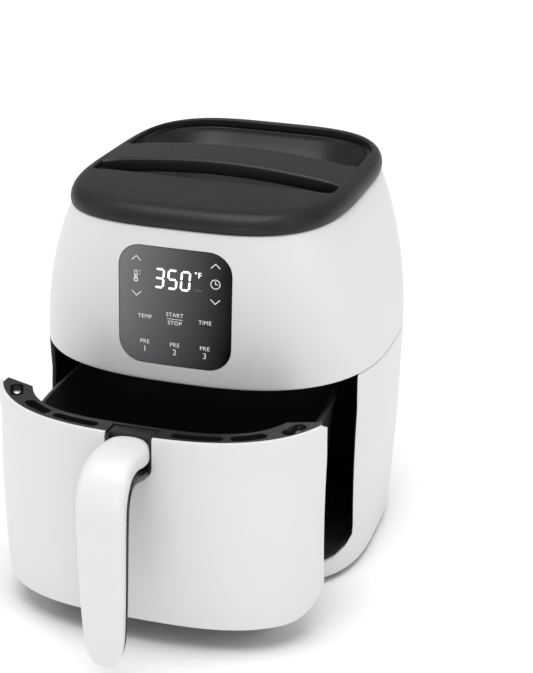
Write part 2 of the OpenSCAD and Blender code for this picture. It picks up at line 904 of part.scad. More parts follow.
module blades(count, r0, r1, h, t, lean) {
    for (k = [0:count - 1])
        rotate([0, 0, 360 * k / count])
            translate([r0, -t / 2, 0])
                rotate([0, 0, lean])
                    cube([r1 - r0, t, h]);
}

module convection_fan() {
    color("gainsboro")
        translate([0, work_y, fan_z])
            difference() {
                union() {
                    translate([0, 0, fan_h - 1])
                        cylinder(h = 1, r = fan_r - 3, $fn = 96);
                    cylinder(h = fan_h, r = hub_r, $fn = 48);
                    blades(10, 20, fan_r, fan_h - 1, 1, 12);
                }
                translate([0, 0, -1])
                    cylinder(h = fan_h + 2, r = shaft_r, $fn = 48);
            }
}

module cooling_fan() {
    color("#d8d4c8")
        translate([0, work_y, cooler_z])
            difference() {
                union() {
                    cylinder(h = 1.2, r = cooler_r - 4, $fn = 96);
                    cylinder(h = cooler_h - 1.5, r = hub_r, $fn = 48);
                    blades(9, 10, cooler_r - 5, cooler_h - 2, 1.4, 8);
                }
                translate([0, 0, -1])
                    cylinder(h = cooler_h + 2, r = shaft_r, $fn = 48);
            }
}

module fan_nut() {
    color("silver")
        translate([0, work_y, fan_z - 5])
            difference() {
                cylinder(h = 5, r = 5, $fn = 6);
                translate([0, 0, -1])
                    cylinder(h = 8, r = shaft_r, $fn = 48);
            }
}

// ----------------------------------------------------------------- drawer
// The drawer is modelled closed and moved out by drawer_open.
module pulled() {
    translate([0, -drawer_open, 0])
        children();
}

function front_outline(gap) = round_box(-opening_half + gap, sill_z + gap,
    opening_half - gap, seam_z - gap, opening_r - gap, 1);

function notch_outline(grow) = round_box(-notch_half - grow, notch_z - grow, notch_half + grow,
    seam_z + 20, 8 + grow, 1);
module notch_prism(grow) {
    front_prism(notch_outline(grow), -front_depth - 10, -front_depth + 40);
}

module drawer_front() {
    color("whitesmoke")
        pulled()
            difference() {
                intersection() {
                    body_wall(sill_z - 2, seam_z + 4, 0, wall, 9);
                    front_prism(front_outline(panel_gap), -front_depth - 10, -20);
                }
                notch_prism(0);
            }
}

trim_end = opening_half - 4;
trim_back = reach(front_at(seam_z), seam_z, 0, opening_half) - 5;
trim_top = seam_z - 1.2;
trim_screw_x = opening_half - 14.5;
trim_slant = 0.4;
trim_slant_run = 24;
trim_end_at_screw = trim_back + trim_slant * (trim_end - trim_screw_x);
trim_face_at_screw = reach(front_at(seam_z), seam_z, wall + shell_gap, trim_screw_x);
trim_screw_share = 0.346;
trim_screw_y = trim_end_at_screw + trim_screw_share * (trim_face_at_screw - trim_end_at_screw);
trim_screw_sink = 3.4;
apron_low = basket_top - 10;
apron_t = 2.2;
// Plan of the space in front of the crescent's two slanted ends.
module trim_reach() {
    inner = trim_end - trim_slant_run;
    inner_back = -trim_back - trim_slant * trim_slant_run;
    polygon([[-trim_end, -front_depth], [trim_end, -front_depth], [trim_end, -trim_back],
        [inner, inner_back], [-inner, inner_back], [-trim_end, -trim_back]]);
}

// Plan outline of the crescent behind the drawer face.
module trim_plan(inset) {
    intersection() {
        polygon(body_outline(seam_z, inset));
        trim_reach();
    }
}

module basket_plan(z, grow) {
    polygon(basket_outline(z, grow));
}
function basket_tuck(z) = basket_draft * (basket_top - z) / (basket_top - basket_floor);
function basket_outline(z, grow) = let (k = basket_tuck(z))
    squircle(basket_half - k + grow, basket_front - k + grow, basket_back - k + grow, basket_square);

module drawer_trim() {
    color("#252525")
        pulled() {
            difference() {
                translate([0, 0, trim_z])
                    linear_extrude(trim_top - trim_z)
                        difference() {
                            trim_plan(wall + shell_gap);
                            basket_plan(basket_top, basket_edge + 0.1);
                        }
                for (k = [-1, 1], s = [0, 1])
                    translate([k * (38 + 28 * s), -front_at(seam_z) + 11 + 9 * s, seam_z - 4])
                        rotate([0, 0, k * (8 + 22 * s)])
                            linear_extrude(10)
                                polygon(round_box(-11, -2.6, 11, 2.6, 2.4, 2.4));
                front_prism(notch_outline(0.1), -front_depth - 10, bracket_back + bracket_room);
                trim_screw_places()
                    translate([0, 0, trim_z - 1])
                        cylinder(h = 20, r = 1.5 + screw_gap, $fn = 24);
                trim_screw_places()
                    translate([0, 0, trim_top - trim_screw_sink])
                        cylinder(h = 20, r = 3.6, $fn = 32);
            }
            // The apron closes the front between the crescent and the basket's rim.
            difference() {
                intersection() {
                    translate([0, 0, apron_low])
                        linear_extrude(trim_z - apron_low + 0.5)
                            difference() {
                                basket_plan(basket_top, basket_edge + 0.1 + apron_t);
                                basket_plan(basket_top, basket_edge + 0.1);
                            }
                    linear_extrude(seam_z)
                        trim_reach();
                }
                handle_screw_places()
                    translate([0, 0, -5])
                        cylinder(h = 10, r = handle_head_r + 0.4, $fn = 32);
            }
        }
}

module trim_screw_places() {
    for (k = [-1, 1])
        translate([k * trim_screw_x, -trim_screw_y, 0])
            children();
}

module trim_screws() {
    color("silver")
        pulled()
            trim_screw_places()
                translate([0, 0, trim_top - trim_screw_sink])
                    mirror([0, 0, 1])
                        screw(1.5, 6, 3, 1.4);
}

carrier_t = 3;
carrier_top = 110;
module drawer_carrier() {
    color("#1d1d1d")
        pulled()
            difference() {
                union() {
                    intersection() {
                        body_wall(sill_z + 2, trim_z, wall + shell_gap, carrier_t, 8);
                        front_prism(round_box(-opening_half + 5, sill_z + 5, opening_half - 5, trim_z,
                            opening_r - 5, 1), -front_depth - 10, -52);
                    }
                    translate([-20, -front_at(40) + wall + 2, 40])
                        cube([40, 30, carrier_top - 40]);
                }
                translate([0, 0, basket_floor])
                    linear_extrude(200)
                        basket_plan(carrier_top, 0.1);
                notch_prism(0.1);
                basket_screw_places()
                    cylinder(h = 8, r = 1.5 + screw_gap, $fn = 24);
            }
}

module handle_bracket() {
    color("#1b1b1c")
        pulled()
            difference() {
                intersection() {
                    body_wall(notch_z - 4, seam_z + 2, bracket_inset, bracket_deep, 4);
                    front_prism(round_box(-notch_half + 0.1, notch_z + 0.1, notch_half - 0.1, seam_z - 1,
                        7.9, 0.9), -front_depth - 10, -front_depth + 40);
                }
                translate([0, 0, basket_floor])
                    linear_extrude(200)
                        basket_plan(basket_top, basket_edge + 0.1);
                handle_screw_places()
                    cylinder(h = 40, r = 1.8 + screw_gap, $fn = 24);
            }
}

handle_head_r = 3.2;
module handle_screw_places() {
    for (x = [-6, 6])
        translate([x, bracket_back + 0.3, 136])
            rotate([90, 0, 0])
                children();
}

module handle_screws() {
    color("silver")
        pulled()
            handle_screw_places()
                screw(1.8, 24, handle_head_r, 1.5);
}

// Centre line of the grip in the YZ plane, measured from the drawer face.
neck_y = -front_depth + 0.6;
function grip_path() = [[neck_y, 133, 24], [neck_y - 5, 133, 23.5], [neck_y - grip_reach * 0.45, 136, 21],
    [neck_y - grip_reach * 0.72, 135.5, 19], [neck_y - grip_reach * 0.9, 130, 17.5],
    [neck_y - grip_reach, 120, 16], [neck_y - grip_reach - 0.6, 104, grip_t],
    [neck_y - grip_reach, 80, grip_t - 0.5], [neck_y - grip_reach + 1, 56, grip_t - 1.5],
    [neck_y - grip_reach + 2.2, 36, grip_t - 3], [neck_y - grip_reach + 3, 24, grip_t - 5],
    [neck_y - grip_reach + 3.4, 18, grip_t - 8.5]];
grip_width = [27, 27.4, 28, 28.6, 29, 29, 28.4, 27.4, 26, 24, 20, 13];

// Direction of the path at point k, as a unit vector in the YZ plane.
function heading(path, k) = let (a = path[max(k - 1, 0)], b = path[min(k + 1, len(path) - 1)])
    let (d = [b[0] - a[0], b[1] - a[1]]) d / norm(d);
// Section of the grip between two shares of its thickness; share 0.5 is the outer face.
function grip_section(k, s0, s1, side) = let (p = grip_path()[k], d = heading(grip_path(), k))
    let (mid = (s0 + s1) / 2 * p[2], deep = (s1 - s0) / 2 * p[2], w = grip_width[k] * grip_w / 29 / 2 - side)
    [for (i = [0:27]) let (t = 360 * i / 28, u = mid + deep * bend(sin(t), 0.6))
        [w * bend(cos(t), 0.6), p[0] + u * d[1], p[1] - u * d[0]]];

module handle_shell() {
    color("whitesmoke")
        pulled()
            difference() {
                skin([for (k = [len(grip_path()) - 1:-1:0]) grip_section(k, -0.18, 0.5, 0)]);
                handle_screw_places()
                    cylinder(h = 25, r = 1.8 + screw_gap, $fn = 24);
            }
}

module handle_liner() {
    color("#1b1b1c")
        pulled()
            skin([for (k = [len(grip_path()) - 1:-1:0]) grip_section(k, -0.5, -0.2, 1)]);
}

// ----------------------------------------------------------------- basket
rim_h = 5;
module basket() {
    color("#2a2a2c")
        pulled()
            difference() {
                skin(concat(
                    [lift(basket_outline(basket_floor, -8), basket_floor)],
                    [lift(basket_outline(basket_floor, -2.4), basket_floor + 2.4)],
                    [for (z = steps(basket_floor + 8, basket_top - rim_h - 1, 4)) lift(basket_outline(z, 0), z)],
                    [lift(basket_outline(basket_top, basket_edge), basket_top - rim_h)],
                    [lift(basket_outline(basket_top, basket_edge), basket_top)]));
                skin(concat(
                    [lift(basket_outline(basket_floor, -9.4), basket_floor + basket_wall)],
                    [lift(basket_outline(basket_floor, -4), basket_floor + basket_wall + 2.4)],
                    [for (z = steps(basket_floor + 8, basket_top + 4, 4))
                        lift(basket_outline(z, -basket_wall), z)]));
                basket_screw_places()
                    translate([0, 0, -1])
                        cylinder(h = 7, r = 1.5 + screw_gap, $fn = 24);
            }
}

basket_screw_z = 90;
module basket_screw_places() {
    for (x = [-12, 12])
        translate([x, -basket_front + basket_tuck(basket_screw_z) + basket_wall + 0.45, basket_screw_z])
            rotate([90, 0, 0])
                children();
}

module basket_screws() {
    color("silver")
        pulled()
            basket_screw_places()
                screw(1.5, 7, 3.2, 1.2);
}

tray_z = basket_floor + basket_wall + tray_lift;
tray_gap = 2.2;
module tray_plan(grow) {
    polygon(basket_outline(tray_z, -basket_wall - tray_gap + grow));
}

tray_pitch = 15;
module crisper_tray() {
    color("#2a2a2c")
        pulled()
            difference() {
                union() {
                    translate([0, 0, tray_z])
                        linear_extrude(tray_thick)
                            tray_plan(0);
                    for (x = [-50, 50], y = [-50, 34])
                        translate([x, y, basket_floor + basket_wall + 0.3])
                            cylinder(h = tray_z - basket_floor - basket_wall + 0.2, r = 4, $fn = 32);
                }
                translate([0, 0, tray_z - 1])
                    linear_extrude(tray_thick + 2)
                        for (x = [-4:4], y = [-5:4])
                            if (abs(x) + abs(y + 0.5) < 7.6)
                                if (abs(x) != 3 || y != 2 || x == 0)
                                    translate([x * tray_pitch, work_y + y * tray_pitch])
                                        circle(r = tray_hole_r, $fn = 24);
            }
}

module tray_bumpers() {
    color("dimgray")
        pulled()
            for (k = [-1, 1], y = [-30, 14])
                translate([k * (basket_half - basket_draft - basket_wall - 4) - 3, y - 5, tray_z - 2])
                    cube([6, 10, 2]);
}

// ---------------------------------------------------------------- assembly
module seated() {
    translate([0, seat_y, 0])
        children();
}

seated() upper_housing();
seated() lower_housing();
seated() base_plate();
seated() rubber_feet();
seated() base_screws();
seated() top_cover();
seated() intake_bowl();
seated() top_cover_screws();
seated() touch_panel_lens();
seated() display_module();
seated() control_board();
seated() board_screws();
seated() touch_springs();
seated() bay_liner();
seated() bay_ceiling();
seated() heater_chamber();
seated() chamber_screws();
seated() heating_element();
seated() heater_clips();
seated() temperature_sensor();
seated() thermal_cutout();
seated() motor_bracket();
seated() motor_stator();
seated() motor_coils();
seated() motor_bushes();
seated() power_board();
seated() power_components();
seated() exhaust_duct();
seated() exhaust_grille();
seated() mains_lead();
seated() cord_bushing();
seated() door_switch();
seated() motor_shaft();
seated() motor_rotor();
seated() convection_fan();
seated() cooling_fan();
seated() fan_nut();
seated() switch_plunger();
seated() drawer_front();
seated() drawer_trim();
seated() drawer_carrier();
seated() handle_bracket();
seated() handle_shell();
seated() handle_liner();
seated() handle_screws();
seated() trim_screws();
seated() basket();
seated() basket_screws();
seated() crisper_tray();
seated() tray_bumpers();
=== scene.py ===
"""Looks of a compact round air fryer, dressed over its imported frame."""
import logging
import math
from dataclasses import dataclass
from enum import Enum
from typing import Callable, Sequence

import bmesh
import bpy
from mathutils import Matrix, Vector


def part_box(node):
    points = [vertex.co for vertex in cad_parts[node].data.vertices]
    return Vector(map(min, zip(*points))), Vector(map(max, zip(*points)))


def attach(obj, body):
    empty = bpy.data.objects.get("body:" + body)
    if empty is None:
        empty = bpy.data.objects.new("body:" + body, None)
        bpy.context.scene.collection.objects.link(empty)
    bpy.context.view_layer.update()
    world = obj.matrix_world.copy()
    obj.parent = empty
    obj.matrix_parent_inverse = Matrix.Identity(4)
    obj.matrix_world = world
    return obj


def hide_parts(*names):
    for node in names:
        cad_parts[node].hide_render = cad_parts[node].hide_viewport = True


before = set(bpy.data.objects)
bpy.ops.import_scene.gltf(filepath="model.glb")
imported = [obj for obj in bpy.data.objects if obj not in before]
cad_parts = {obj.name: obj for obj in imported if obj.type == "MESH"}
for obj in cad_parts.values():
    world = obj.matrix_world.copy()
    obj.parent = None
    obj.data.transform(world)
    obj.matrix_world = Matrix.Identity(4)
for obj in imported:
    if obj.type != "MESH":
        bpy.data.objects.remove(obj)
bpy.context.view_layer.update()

MM = 0.001
RING = 176
# Depths in front of and behind the whole housing, in its millimetres, that cutters reach.
AHEAD, BEHIND = -140.0, 140.0
# Bodies that stand pulled out with the drawer at rest.
PULLED_BODIES = ("drawer", "tray")
Point = tuple[float, float, float]
Flat = tuple[float, float]
log = logging.getLogger("air_fryer")


# ------------------------------------------------------------------ outlines
def steps(first: float, last: float, count: int) -> list[float]:
    """Values spread evenly from first to last.

    Args:
        first: first value.
        last: last value.
        count: number of gaps between them.

    Returns:
        count + 1 values.
    """
    return [first + (last - first) * k / count for k in range(count + 1)]


def bend(value: float, power: float) -> float:
    """A power that keeps the sign of value."""
    return math.copysign(abs(value) ** power, value)


def squircle(half: float, front: float, back: float, square: float, count: int = 720) -> list[Flat]:
    """A rounded square that may be deeper on one side.

    Args:
        half: half width.
        front: depth towards the front.
        back: depth towards the back.
        square: exponent; 2 is an ellipse and more is squarer.
        count: number of points.

    Returns:
        Points counterclockwise from +X.
    """
    made = []
    for k in range(count):
        turn = math.tau * k / count
        deep = front if math.sin(turn) < 0 else back
        made.append((half * bend(math.cos(turn), 2 / square), deep * bend(math.sin(turn), 2 / square)))
    return made


def even(outline: Sequence[Flat], count: int = RING) -> list[Flat]:
    """A closed outline with its points spread evenly along it.

    Args:
        outline: the outline.
        count: number of points wanted.

    Returns:
        count points, the first one at the outline's first point.
    """
    closed = [*outline, outline[0]]
    length = [0.0]
    for a, b in zip(closed, closed[1:]):
        length.append(length[-1] + math.dist(a, b))
    made, k = [], 0
    for i in range(count):
        goal = length[-1] * i / count
        while length[k + 1] < goal:
            k += 1
        share = (goal - length[k]) / max(length[k + 1] - length[k], 1e-9)
        made.append(tuple(p + (q - p) * share for p, q in zip(closed[k], closed[k + 1])))
    return made


def round_box(x0: float, y0: float, x1: float, y1: float, r0: float, r1: float,
              turns: int = 8) -> list[Flat]:
    """A rectangle with rounded corners.

    Args:
        x0: low side.
        y0: low side.
        x1: high side.
        y1: high side.
        r0: radius of the two corners at y0.
        r1: radius of the two corners at y1.
        turns: steps in a corner.

    Returns:
        Points counterclockwise.
    """
    corners = ((x1 - r0, y0 + r0, r0, -90), (x1 - r1, y1 - r1, r1, 0),
               (x0 + r1, y1 - r1, r1, 90), (x0 + r0, y0 + r0, r0, 180))
    made = []
    for x, y, r, start in corners:
        for angle in steps(start, start + 90, turns):
            a = math.radians(angle)
            made.append((x + r * math.cos(a), y + r * math.sin(a)))
    return made


def circle(x: float, y: float, r: float, count: int) -> list[Flat]:
    """Points evenly round a circle about (x, y), counterclockwise from +X."""
    return [(x + r * math.cos(a), y + r * math.sin(a)) for a in steps(0, math.tau, count)[:-1]]


def grown(outline: Sequence[Flat], by: float) -> list[Flat]:
    """A closed outline moved outwards along its normals.

    Args:
        outline: counterclockwise points.
        by: distance, less than 0 to shrink.

    Returns:
        As many points.
    """
    made = []
    for k, p in enumerate(outline):
        a, b = outline[k - 1], outline[(k + 1) % len(outline)]
        run = math.dist(a, b) or 1.0
        made.append((p[0] + by * (b[1] - a[1]) / run, p[1] - by * (b[0] - a[0]) / run))
    return made


def flow(points: Sequence[Sequence[float]], per: int = 6) -> list[tuple[float, ...]]:
    """A smooth run through a few points.

    Args:
        points: points of any dimension.
        per: steps between two of them.

    Returns:
        Points of a Catmull-Rom curve, ends included.
    """
    pts = [points[0], *points, points[-1]]
    made = []
    for k in range(1, len(pts) - 2):
        for i in range(per):
            t = i / per
            made.append(tuple(
                0.5 * (2 * b + (c - a) * t + (2 * a - 5 * b + 4 * c - d) * t * t
                       + (3 * b - a - 3 * c + d) * t ** 3)
                for a, b, c, d in zip(pts[k - 1], pts[k], pts[k + 1], pts[k + 2])))
    made.append(tuple(points[-1]))
    return made


def level(outline: Sequence[Flat], z: float) -> list[Point]:
    """The outline laid flat at a height."""
    return [(x, y, z) for x, y in outline]


def upright(outline: Sequence[Flat], y: float) -> list[Point]:
    """The outline stood up in the XZ plane at a depth."""
    return [(x, y, z) for x, z in outline]


# --------------------------------------------------------------- the workbench
class Ends(Enum):
    """How a skin ends: with flat caps, or its last ring joined to its first."""

    CAPPED = "NGON"
    LOOPED = "NOTHING"


class Solid(Enum):
    """How one solid acts on another."""

    CUT = "DIFFERENCE"
    ADD = "UNION"
    KEEP = "INTERSECT"


def clear() -> None:
    """Leave edit mode and select nothing."""
    if bpy.context.object and bpy.context.object.mode != "OBJECT":
        bpy.ops.object.mode_set(mode="OBJECT")
    bpy.ops.object.select_all(action="DESELECT")


def pick(*pieces: bpy.types.Object) -> None:
    """Select these pieces alone.

    Args:
        pieces: the pieces, of which the first one becomes active.
    """
    clear()
    for piece in pieces:
        piece.select_set(True)
    bpy.context.view_layer.objects.active = pieces[0]


def tidy(piece: bpy.types.Object, reach: float = 1e-4) -> None:
    """Merge a mesh's doubles and turn its faces outwards.

    Args:
        piece: the mesh.
        reach: how near two points are to be one.
    """
    pick(piece)
    bpy.ops.object.mode_set(mode="EDIT")
    bpy.ops.mesh.select_all(action="SELECT")
    bpy.ops.mesh.remove_doubles(threshold=reach)
    bpy.ops.mesh.normals_make_consistent(inside=False)
    bpy.ops.object.mode_set(mode="OBJECT")


def skin(name: str, rings: Sequence[Sequence[Point]], ends: Ends = Ends.CAPPED) -> bpy.types.Object:
    """Extrude a circle once for each ring and shape every ring in turn.

    Args:
        name: name of the piece.
        rings: rings with equally many points, a multiple of four.
        ends: how the first and last ring are closed.

    Returns:
        The piece, in millimetres.
    """
    levels = list(rings) if ends is Ends.CAPPED else [*rings, rings[0]]
    count = len(levels[0])
    clear()
    bpy.ops.mesh.primitive_circle_add(vertices=count, radius=1.0, fill_type=ends.value)
    piece = bpy.context.object
    piece.name = piece.data.name = name
    bpy.ops.object.mode_set(mode="EDIT")
    bpy.ops.mesh.select_all(action="SELECT")
    for _ in levels[1:]:
        bpy.ops.mesh.extrude_region_move(TRANSFORM_OT_translate={"value": (0, 0, 1)})
    bpy.ops.object.mode_set(mode="OBJECT")
    for vertex in piece.data.vertices:
        x, y, z = vertex.co
        place = round(math.atan2(y, x) / math.tau * count) % count
        vertex.co = levels[round(z)][place]
    tidy(piece)
    return piece


def prism(name: str, outline: Sequence[Flat], low: float, high: float,
          stand: Callable[[Sequence[Flat], float], list[Point]] = level) -> bpy.types.Object:
    """A straight prism over an outline, whose point count is a multiple of four."""
    return skin(name, [stand(outline, low), stand(outline, high)])


def turned(name: str, x: float, y: float, profile: Sequence[Flat], low: float = 0.0,
           count: int = 48) -> bpy.types.Object:
    """A solid of revolution about an upright axis.

    Args:
        name: name of the piece.
        x: place of the axis.
        y: place of the axis.
        profile: (radius, height) pairs that start and end near the axis.
        low: level that the heights count from.
        count: points in a ring, a multiple of four.

    Returns:
        The piece.
    """
    return skin(name, [level(circle(x, y, r, count), low + up) for r, up in profile])


def bulk(piece: bpy.types.Object) -> tuple[float, list[float]]:
    """How much room a piece takes.

    Args:
        piece: the closed mesh.

    Returns:
        Its volume, and its six outermost places: low x, y, z and then high x, y, z.
    """
    shape = bmesh.new()
    shape.from_mesh(piece.data)
    volume = shape.calc_volume()
    shape.free()
    places = [vertex.co for vertex in piece.data.vertices]
    if not places:
        return 0.0, [0.0] * 6
    return volume, [least(p[k] for p in places) for least in (min, max) for k in range(3)]


def sound(piece: bpy.types.Object, how: Solid, volume: float, span: Sequence[float]) -> bool:
    """True when a boolean's outcome is possible: a cut never makes a piece larger.

    Args:
        piece: the piece after the boolean.
        how: what the tool did.
        volume: the piece's volume before it.
        span: the piece's outermost places before it.

    Returns:
        True for a sound piece.
    """
    now, reach = bulk(piece)
    if how is Solid.ADD:
        return now >= volume * 0.999
    return (0 < now <= volume * 1.001 and all(r >= p - 0.01 for r, p in zip(reach[:3], span[:3]))
            and all(r <= p + 0.01 for r, p in zip(reach[3:], span[3:])))


def work(piece: bpy.types.Object, tool: bpy.types.Object, how: Solid) -> None:
    """Cut, join or trim a piece with a tool, and put the tool away.

    The solver now and then leaves a tool's own skin behind. Such an outcome is put back and done again,
    with the tool moved by a few thousandths of a millimetre.

    Args:
        piece: the piece that stays.
        tool: the solid used up.
        how: what the tool does.
    """
    before, (volume, span) = piece.data.copy(), bulk(piece)
    for attempt in range(5):
        tool.location = (0.003 * attempt,) * 3
        pick(piece)
        bpy.ops.object.modifier_add(type="BOOLEAN")
        change = piece.modifiers[-1]
        change.operation = how.value
        change.solver = "EXACT"
        change.object = tool
        bpy.ops.object.modifier_apply(modifier=change.name)
        if sound(piece, how, volume, span):
            break
        log.warning("%s: %s by %s done again", piece.name, how.name, tool.name)
        spoilt, piece.data = piece.data, before.copy()
        bpy.data.meshes.remove(spoilt)
    waste = tool.data
    bpy.data.objects.remove(tool)
    bpy.data.meshes.remove(waste)
    bpy.data.meshes.remove(before)


def together(name: str, pieces: Sequence[bpy.types.Object]) -> bpy.types.Object:
    """Join pieces into one object.

    Args:
        name: name of the joined piece.
        pieces: the pieces, of which the first one stays.

    Returns:
        The joined piece.
    """
    pick(*pieces)
    if len(pieces) > 1:
        bpy.ops.object.join()
    pieces[0].name = pieces[0].data.name = name
    return pieces[0]


def soften(piece: bpy.types.Object, width: float, corner: float = 40.0, rounds: int = 3,
           merge: float = 0.02) -> None:
    """Round the edges that turn more than an angle.

    Args:
        piece: the mesh.
        width: width of the rounding, in millimetres.
        corner: least turn of an edge that is rounded, in degrees.
        rounds: segments across the rounding.
        merge: how near two points are to be one before the edges are rounded.
    """
    tidy(piece, merge)
    bpy.ops.object.modifier_add(type="BEVEL")
    change = piece.modifiers[-1]
    change.width = width
    change.segments = rounds
    change.limit_method = "ANGLE"
    change.angle_limit = math.radians(corner)
    change.use_clamp_overlap = True
    change.miter_outer = "MITER_ARC"
    bpy.ops.object.modifier_apply(modifier=change.name)


def dress(piece: bpy.types.Object, form: "Form", body: str, finish: "Finish", slot: str, *nodes: str,
          smooth: float = 32.0) -> None:
    """Bring a piece from the housing's millimetres to the row's metres, and shade and dress it.

    Args:
        piece: the finished mesh.
        form: the housing's form.
        body: body that it moves with.
        finish: its finish.
        slot: not used.
        nodes: CAD nodes that it stands for.
        smooth: edges that turn less than this many degrees look smooth.
    """
    pick(piece)
    piece.scale = (MM, MM, MM)
    piece.location = (0, (form.seat_y - (form.pull if body in PULLED_BODIES else 0)) * MM, 0)
    bpy.ops.object.transform_apply(location=True, rotation=True, scale=True)
    bpy.ops.object.shade_smooth_by_angle(angle=math.radians(smooth))
    piece.data.materials.clear()
    piece.data.materials.append(finish.material())
    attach(piece, body)
    if nodes:
        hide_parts(*nodes)
    log.info("%s: %d faces on %s", piece.name, len(piece.data.polygons), body)


# ----------------------------------------------------------------- the form
@dataclass(frozen=True)
class Form:
    """Rounded shape that the housing's skins share, in millimetres.

    x runs right, y back from the housing's middle and z up from the table.
    """

    half_w: float
    seat_y: float
    pull: float
    front: float = 117.0
    back: float = 116.0
    foot_z: float = 4.0
    belly_z: float = 121.0
    lid_z: float = 246.0
    base_tuck: float = 6.0
    shoulder_tuck: float = 26.0
    front_tuck: float = 16.0
    back_tuck: float = 9.0
    belly_square: float = 2.5
    foot_squarer: float = 0.6
    lid_squarer: float = 0.9
    wall: float = 2.4
    seam_z: float = 146.5
    sill_z: float = 17.1
    opening_half: float = 104.5
    opening_r: float = 16.0

    @classmethod
    def measured(cls, basket_front: float = 99.2) -> "Form":
        """The form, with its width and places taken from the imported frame.

        Args:
            basket_front: depth of the basket's rim in front of the housing's middle.

        Returns:
            The form.
        """
        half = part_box("lower_housing")[1][0] / MM
        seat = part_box("upper_housing")[0][1] / MM + cls.front
        pull = seat - basket_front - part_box("basket")[0][1] / MM
        return cls(half, seat, pull)

    def tucks(self, z: float) -> Flat:
        """Shares of the way from the belly down to the foot and up to the lid, each from 0 to 1."""
        return (min(1.0, max(0.0, (self.belly_z - z) / (self.belly_z - self.foot_z))),
                min(1.0, max(0.0, (z - self.belly_z) / (self.lid_z - self.belly_z))))

    def swell(self, mid: float, low: float, top: float, z: float) -> float:
        """A size that is largest at the belly and tucks in below and above it.

        Args:
            mid: the size at the belly.
            low: the size at the foot.
            top: the size at the lid.
            z: level.

        Returns:
            The size at z.
        """
        below, above = self.tucks(z)
        return mid - (mid - low) * below ** 1.6 - (mid - top) * above ** 2.4

    def sizes(self, z: float) -> tuple[float, float, float, float]:
        """The outline's sizes at a level.

        Args:
            z: level.

        Returns:
            Half width, front depth, back depth and squareness.
        """
        below, above = self.tucks(z)
        return (self.swell(self.half_w, self.half_w - self.base_tuck,
                           self.half_w - self.shoulder_tuck, z),
                self.swell(self.front, self.front - self.front_tuck, self.front, z),
                self.swell(self.back, self.back - self.back_tuck, self.back, z),
                self.belly_square + self.foot_squarer * below + self.lid_squarer * above)

    def outline(self, z: float, inset: float = 0.0, count: int = RING) -> list[Flat]:
        """The housing's outline at a level, drawn in by inset."""
        half, front, back, square = self.sizes(z)
        return even(squircle(half - inset, front - inset, back - inset, square), count)

    def ring(self, z: float, inset: float = 0.0, count: int = RING) -> list[Point]:
        """The outline as points at its level."""
        return level(self.outline(z, inset, count), z)

    def face(self, x: float, z: float, inset: float = 0.0) -> float:
        """Depth of the housing's front skin.

        Args:
            x: place across.
            z: level.
            inset: how far the skin is drawn in.

        Returns:
            Y, less than 0.
        """
        half, front, _, square = self.sizes(z)
        share = min(1.0, abs(x) / (half - inset))
        return -(front - inset) * (1 - share ** square) ** (1 / square)

    def opening(self, gap: float = 0.0, count: int = 96) -> list[Flat]:
        """The drawer opening in the XZ plane, made smaller by gap."""
        return even(round_box(-self.opening_half + gap, self.sill_z + gap, self.opening_half - gap,
                              self.seam_z + 20, self.opening_r - gap, 1), count)


# ---------------------------------------------------------------- finishes
def linear(code: str) -> tuple[float, float, float, float]:
    """An sRGB hex colour as linear RGBA."""
    parts = (int(code[k:k + 2], 16) / 255 for k in (1, 3, 5))
    return (*(p / 12.92 if p <= 0.04045 else ((p + 0.055) / 1.055) ** 2.4 for p in parts), 1.0)


def node(tree: bpy.types.NodeTree, kind: str, sockets: dict | None = None,
         **settings: object) -> bpy.types.Node:
    """Add a node with its settings, values and links.

    Args:
        tree: the material's tree.
        kind: type of the node.
        sockets: value of each input by its name or index, or the output linked to it.
        settings: properties of the node.

    Returns:
        The node.
    """
    made = tree.nodes.new(kind)
    for key, value in settings.items():
        setattr(made, key, value)
    for key, value in (sockets or {}).items():
        if isinstance(value, bpy.types.NodeSocket):
            tree.links.new(value, made.inputs[key])
        else:
            made.inputs[key].default_value = value
    return made


def two_colours(tree: bpy.types.NodeTree, factor: bpy.types.NodeSocket, first: str,
                second: str) -> bpy.types.NodeSocket:
    """Mix two colours by a factor, through sockets whose names a mix node uses more than once.

    Args:
        tree: the material's tree.
        factor: output that is 0 for the first colour and 1 for the second.
        first: sRGB hex colour.
        second: sRGB hex colour.

    Returns:
        The mixed colour's output.
    """
    mix = node(tree, "ShaderNodeMix", {0: factor, 6: linear(first), 7: linear(second)}, data_type="RGBA")
    return mix.outputs[2]


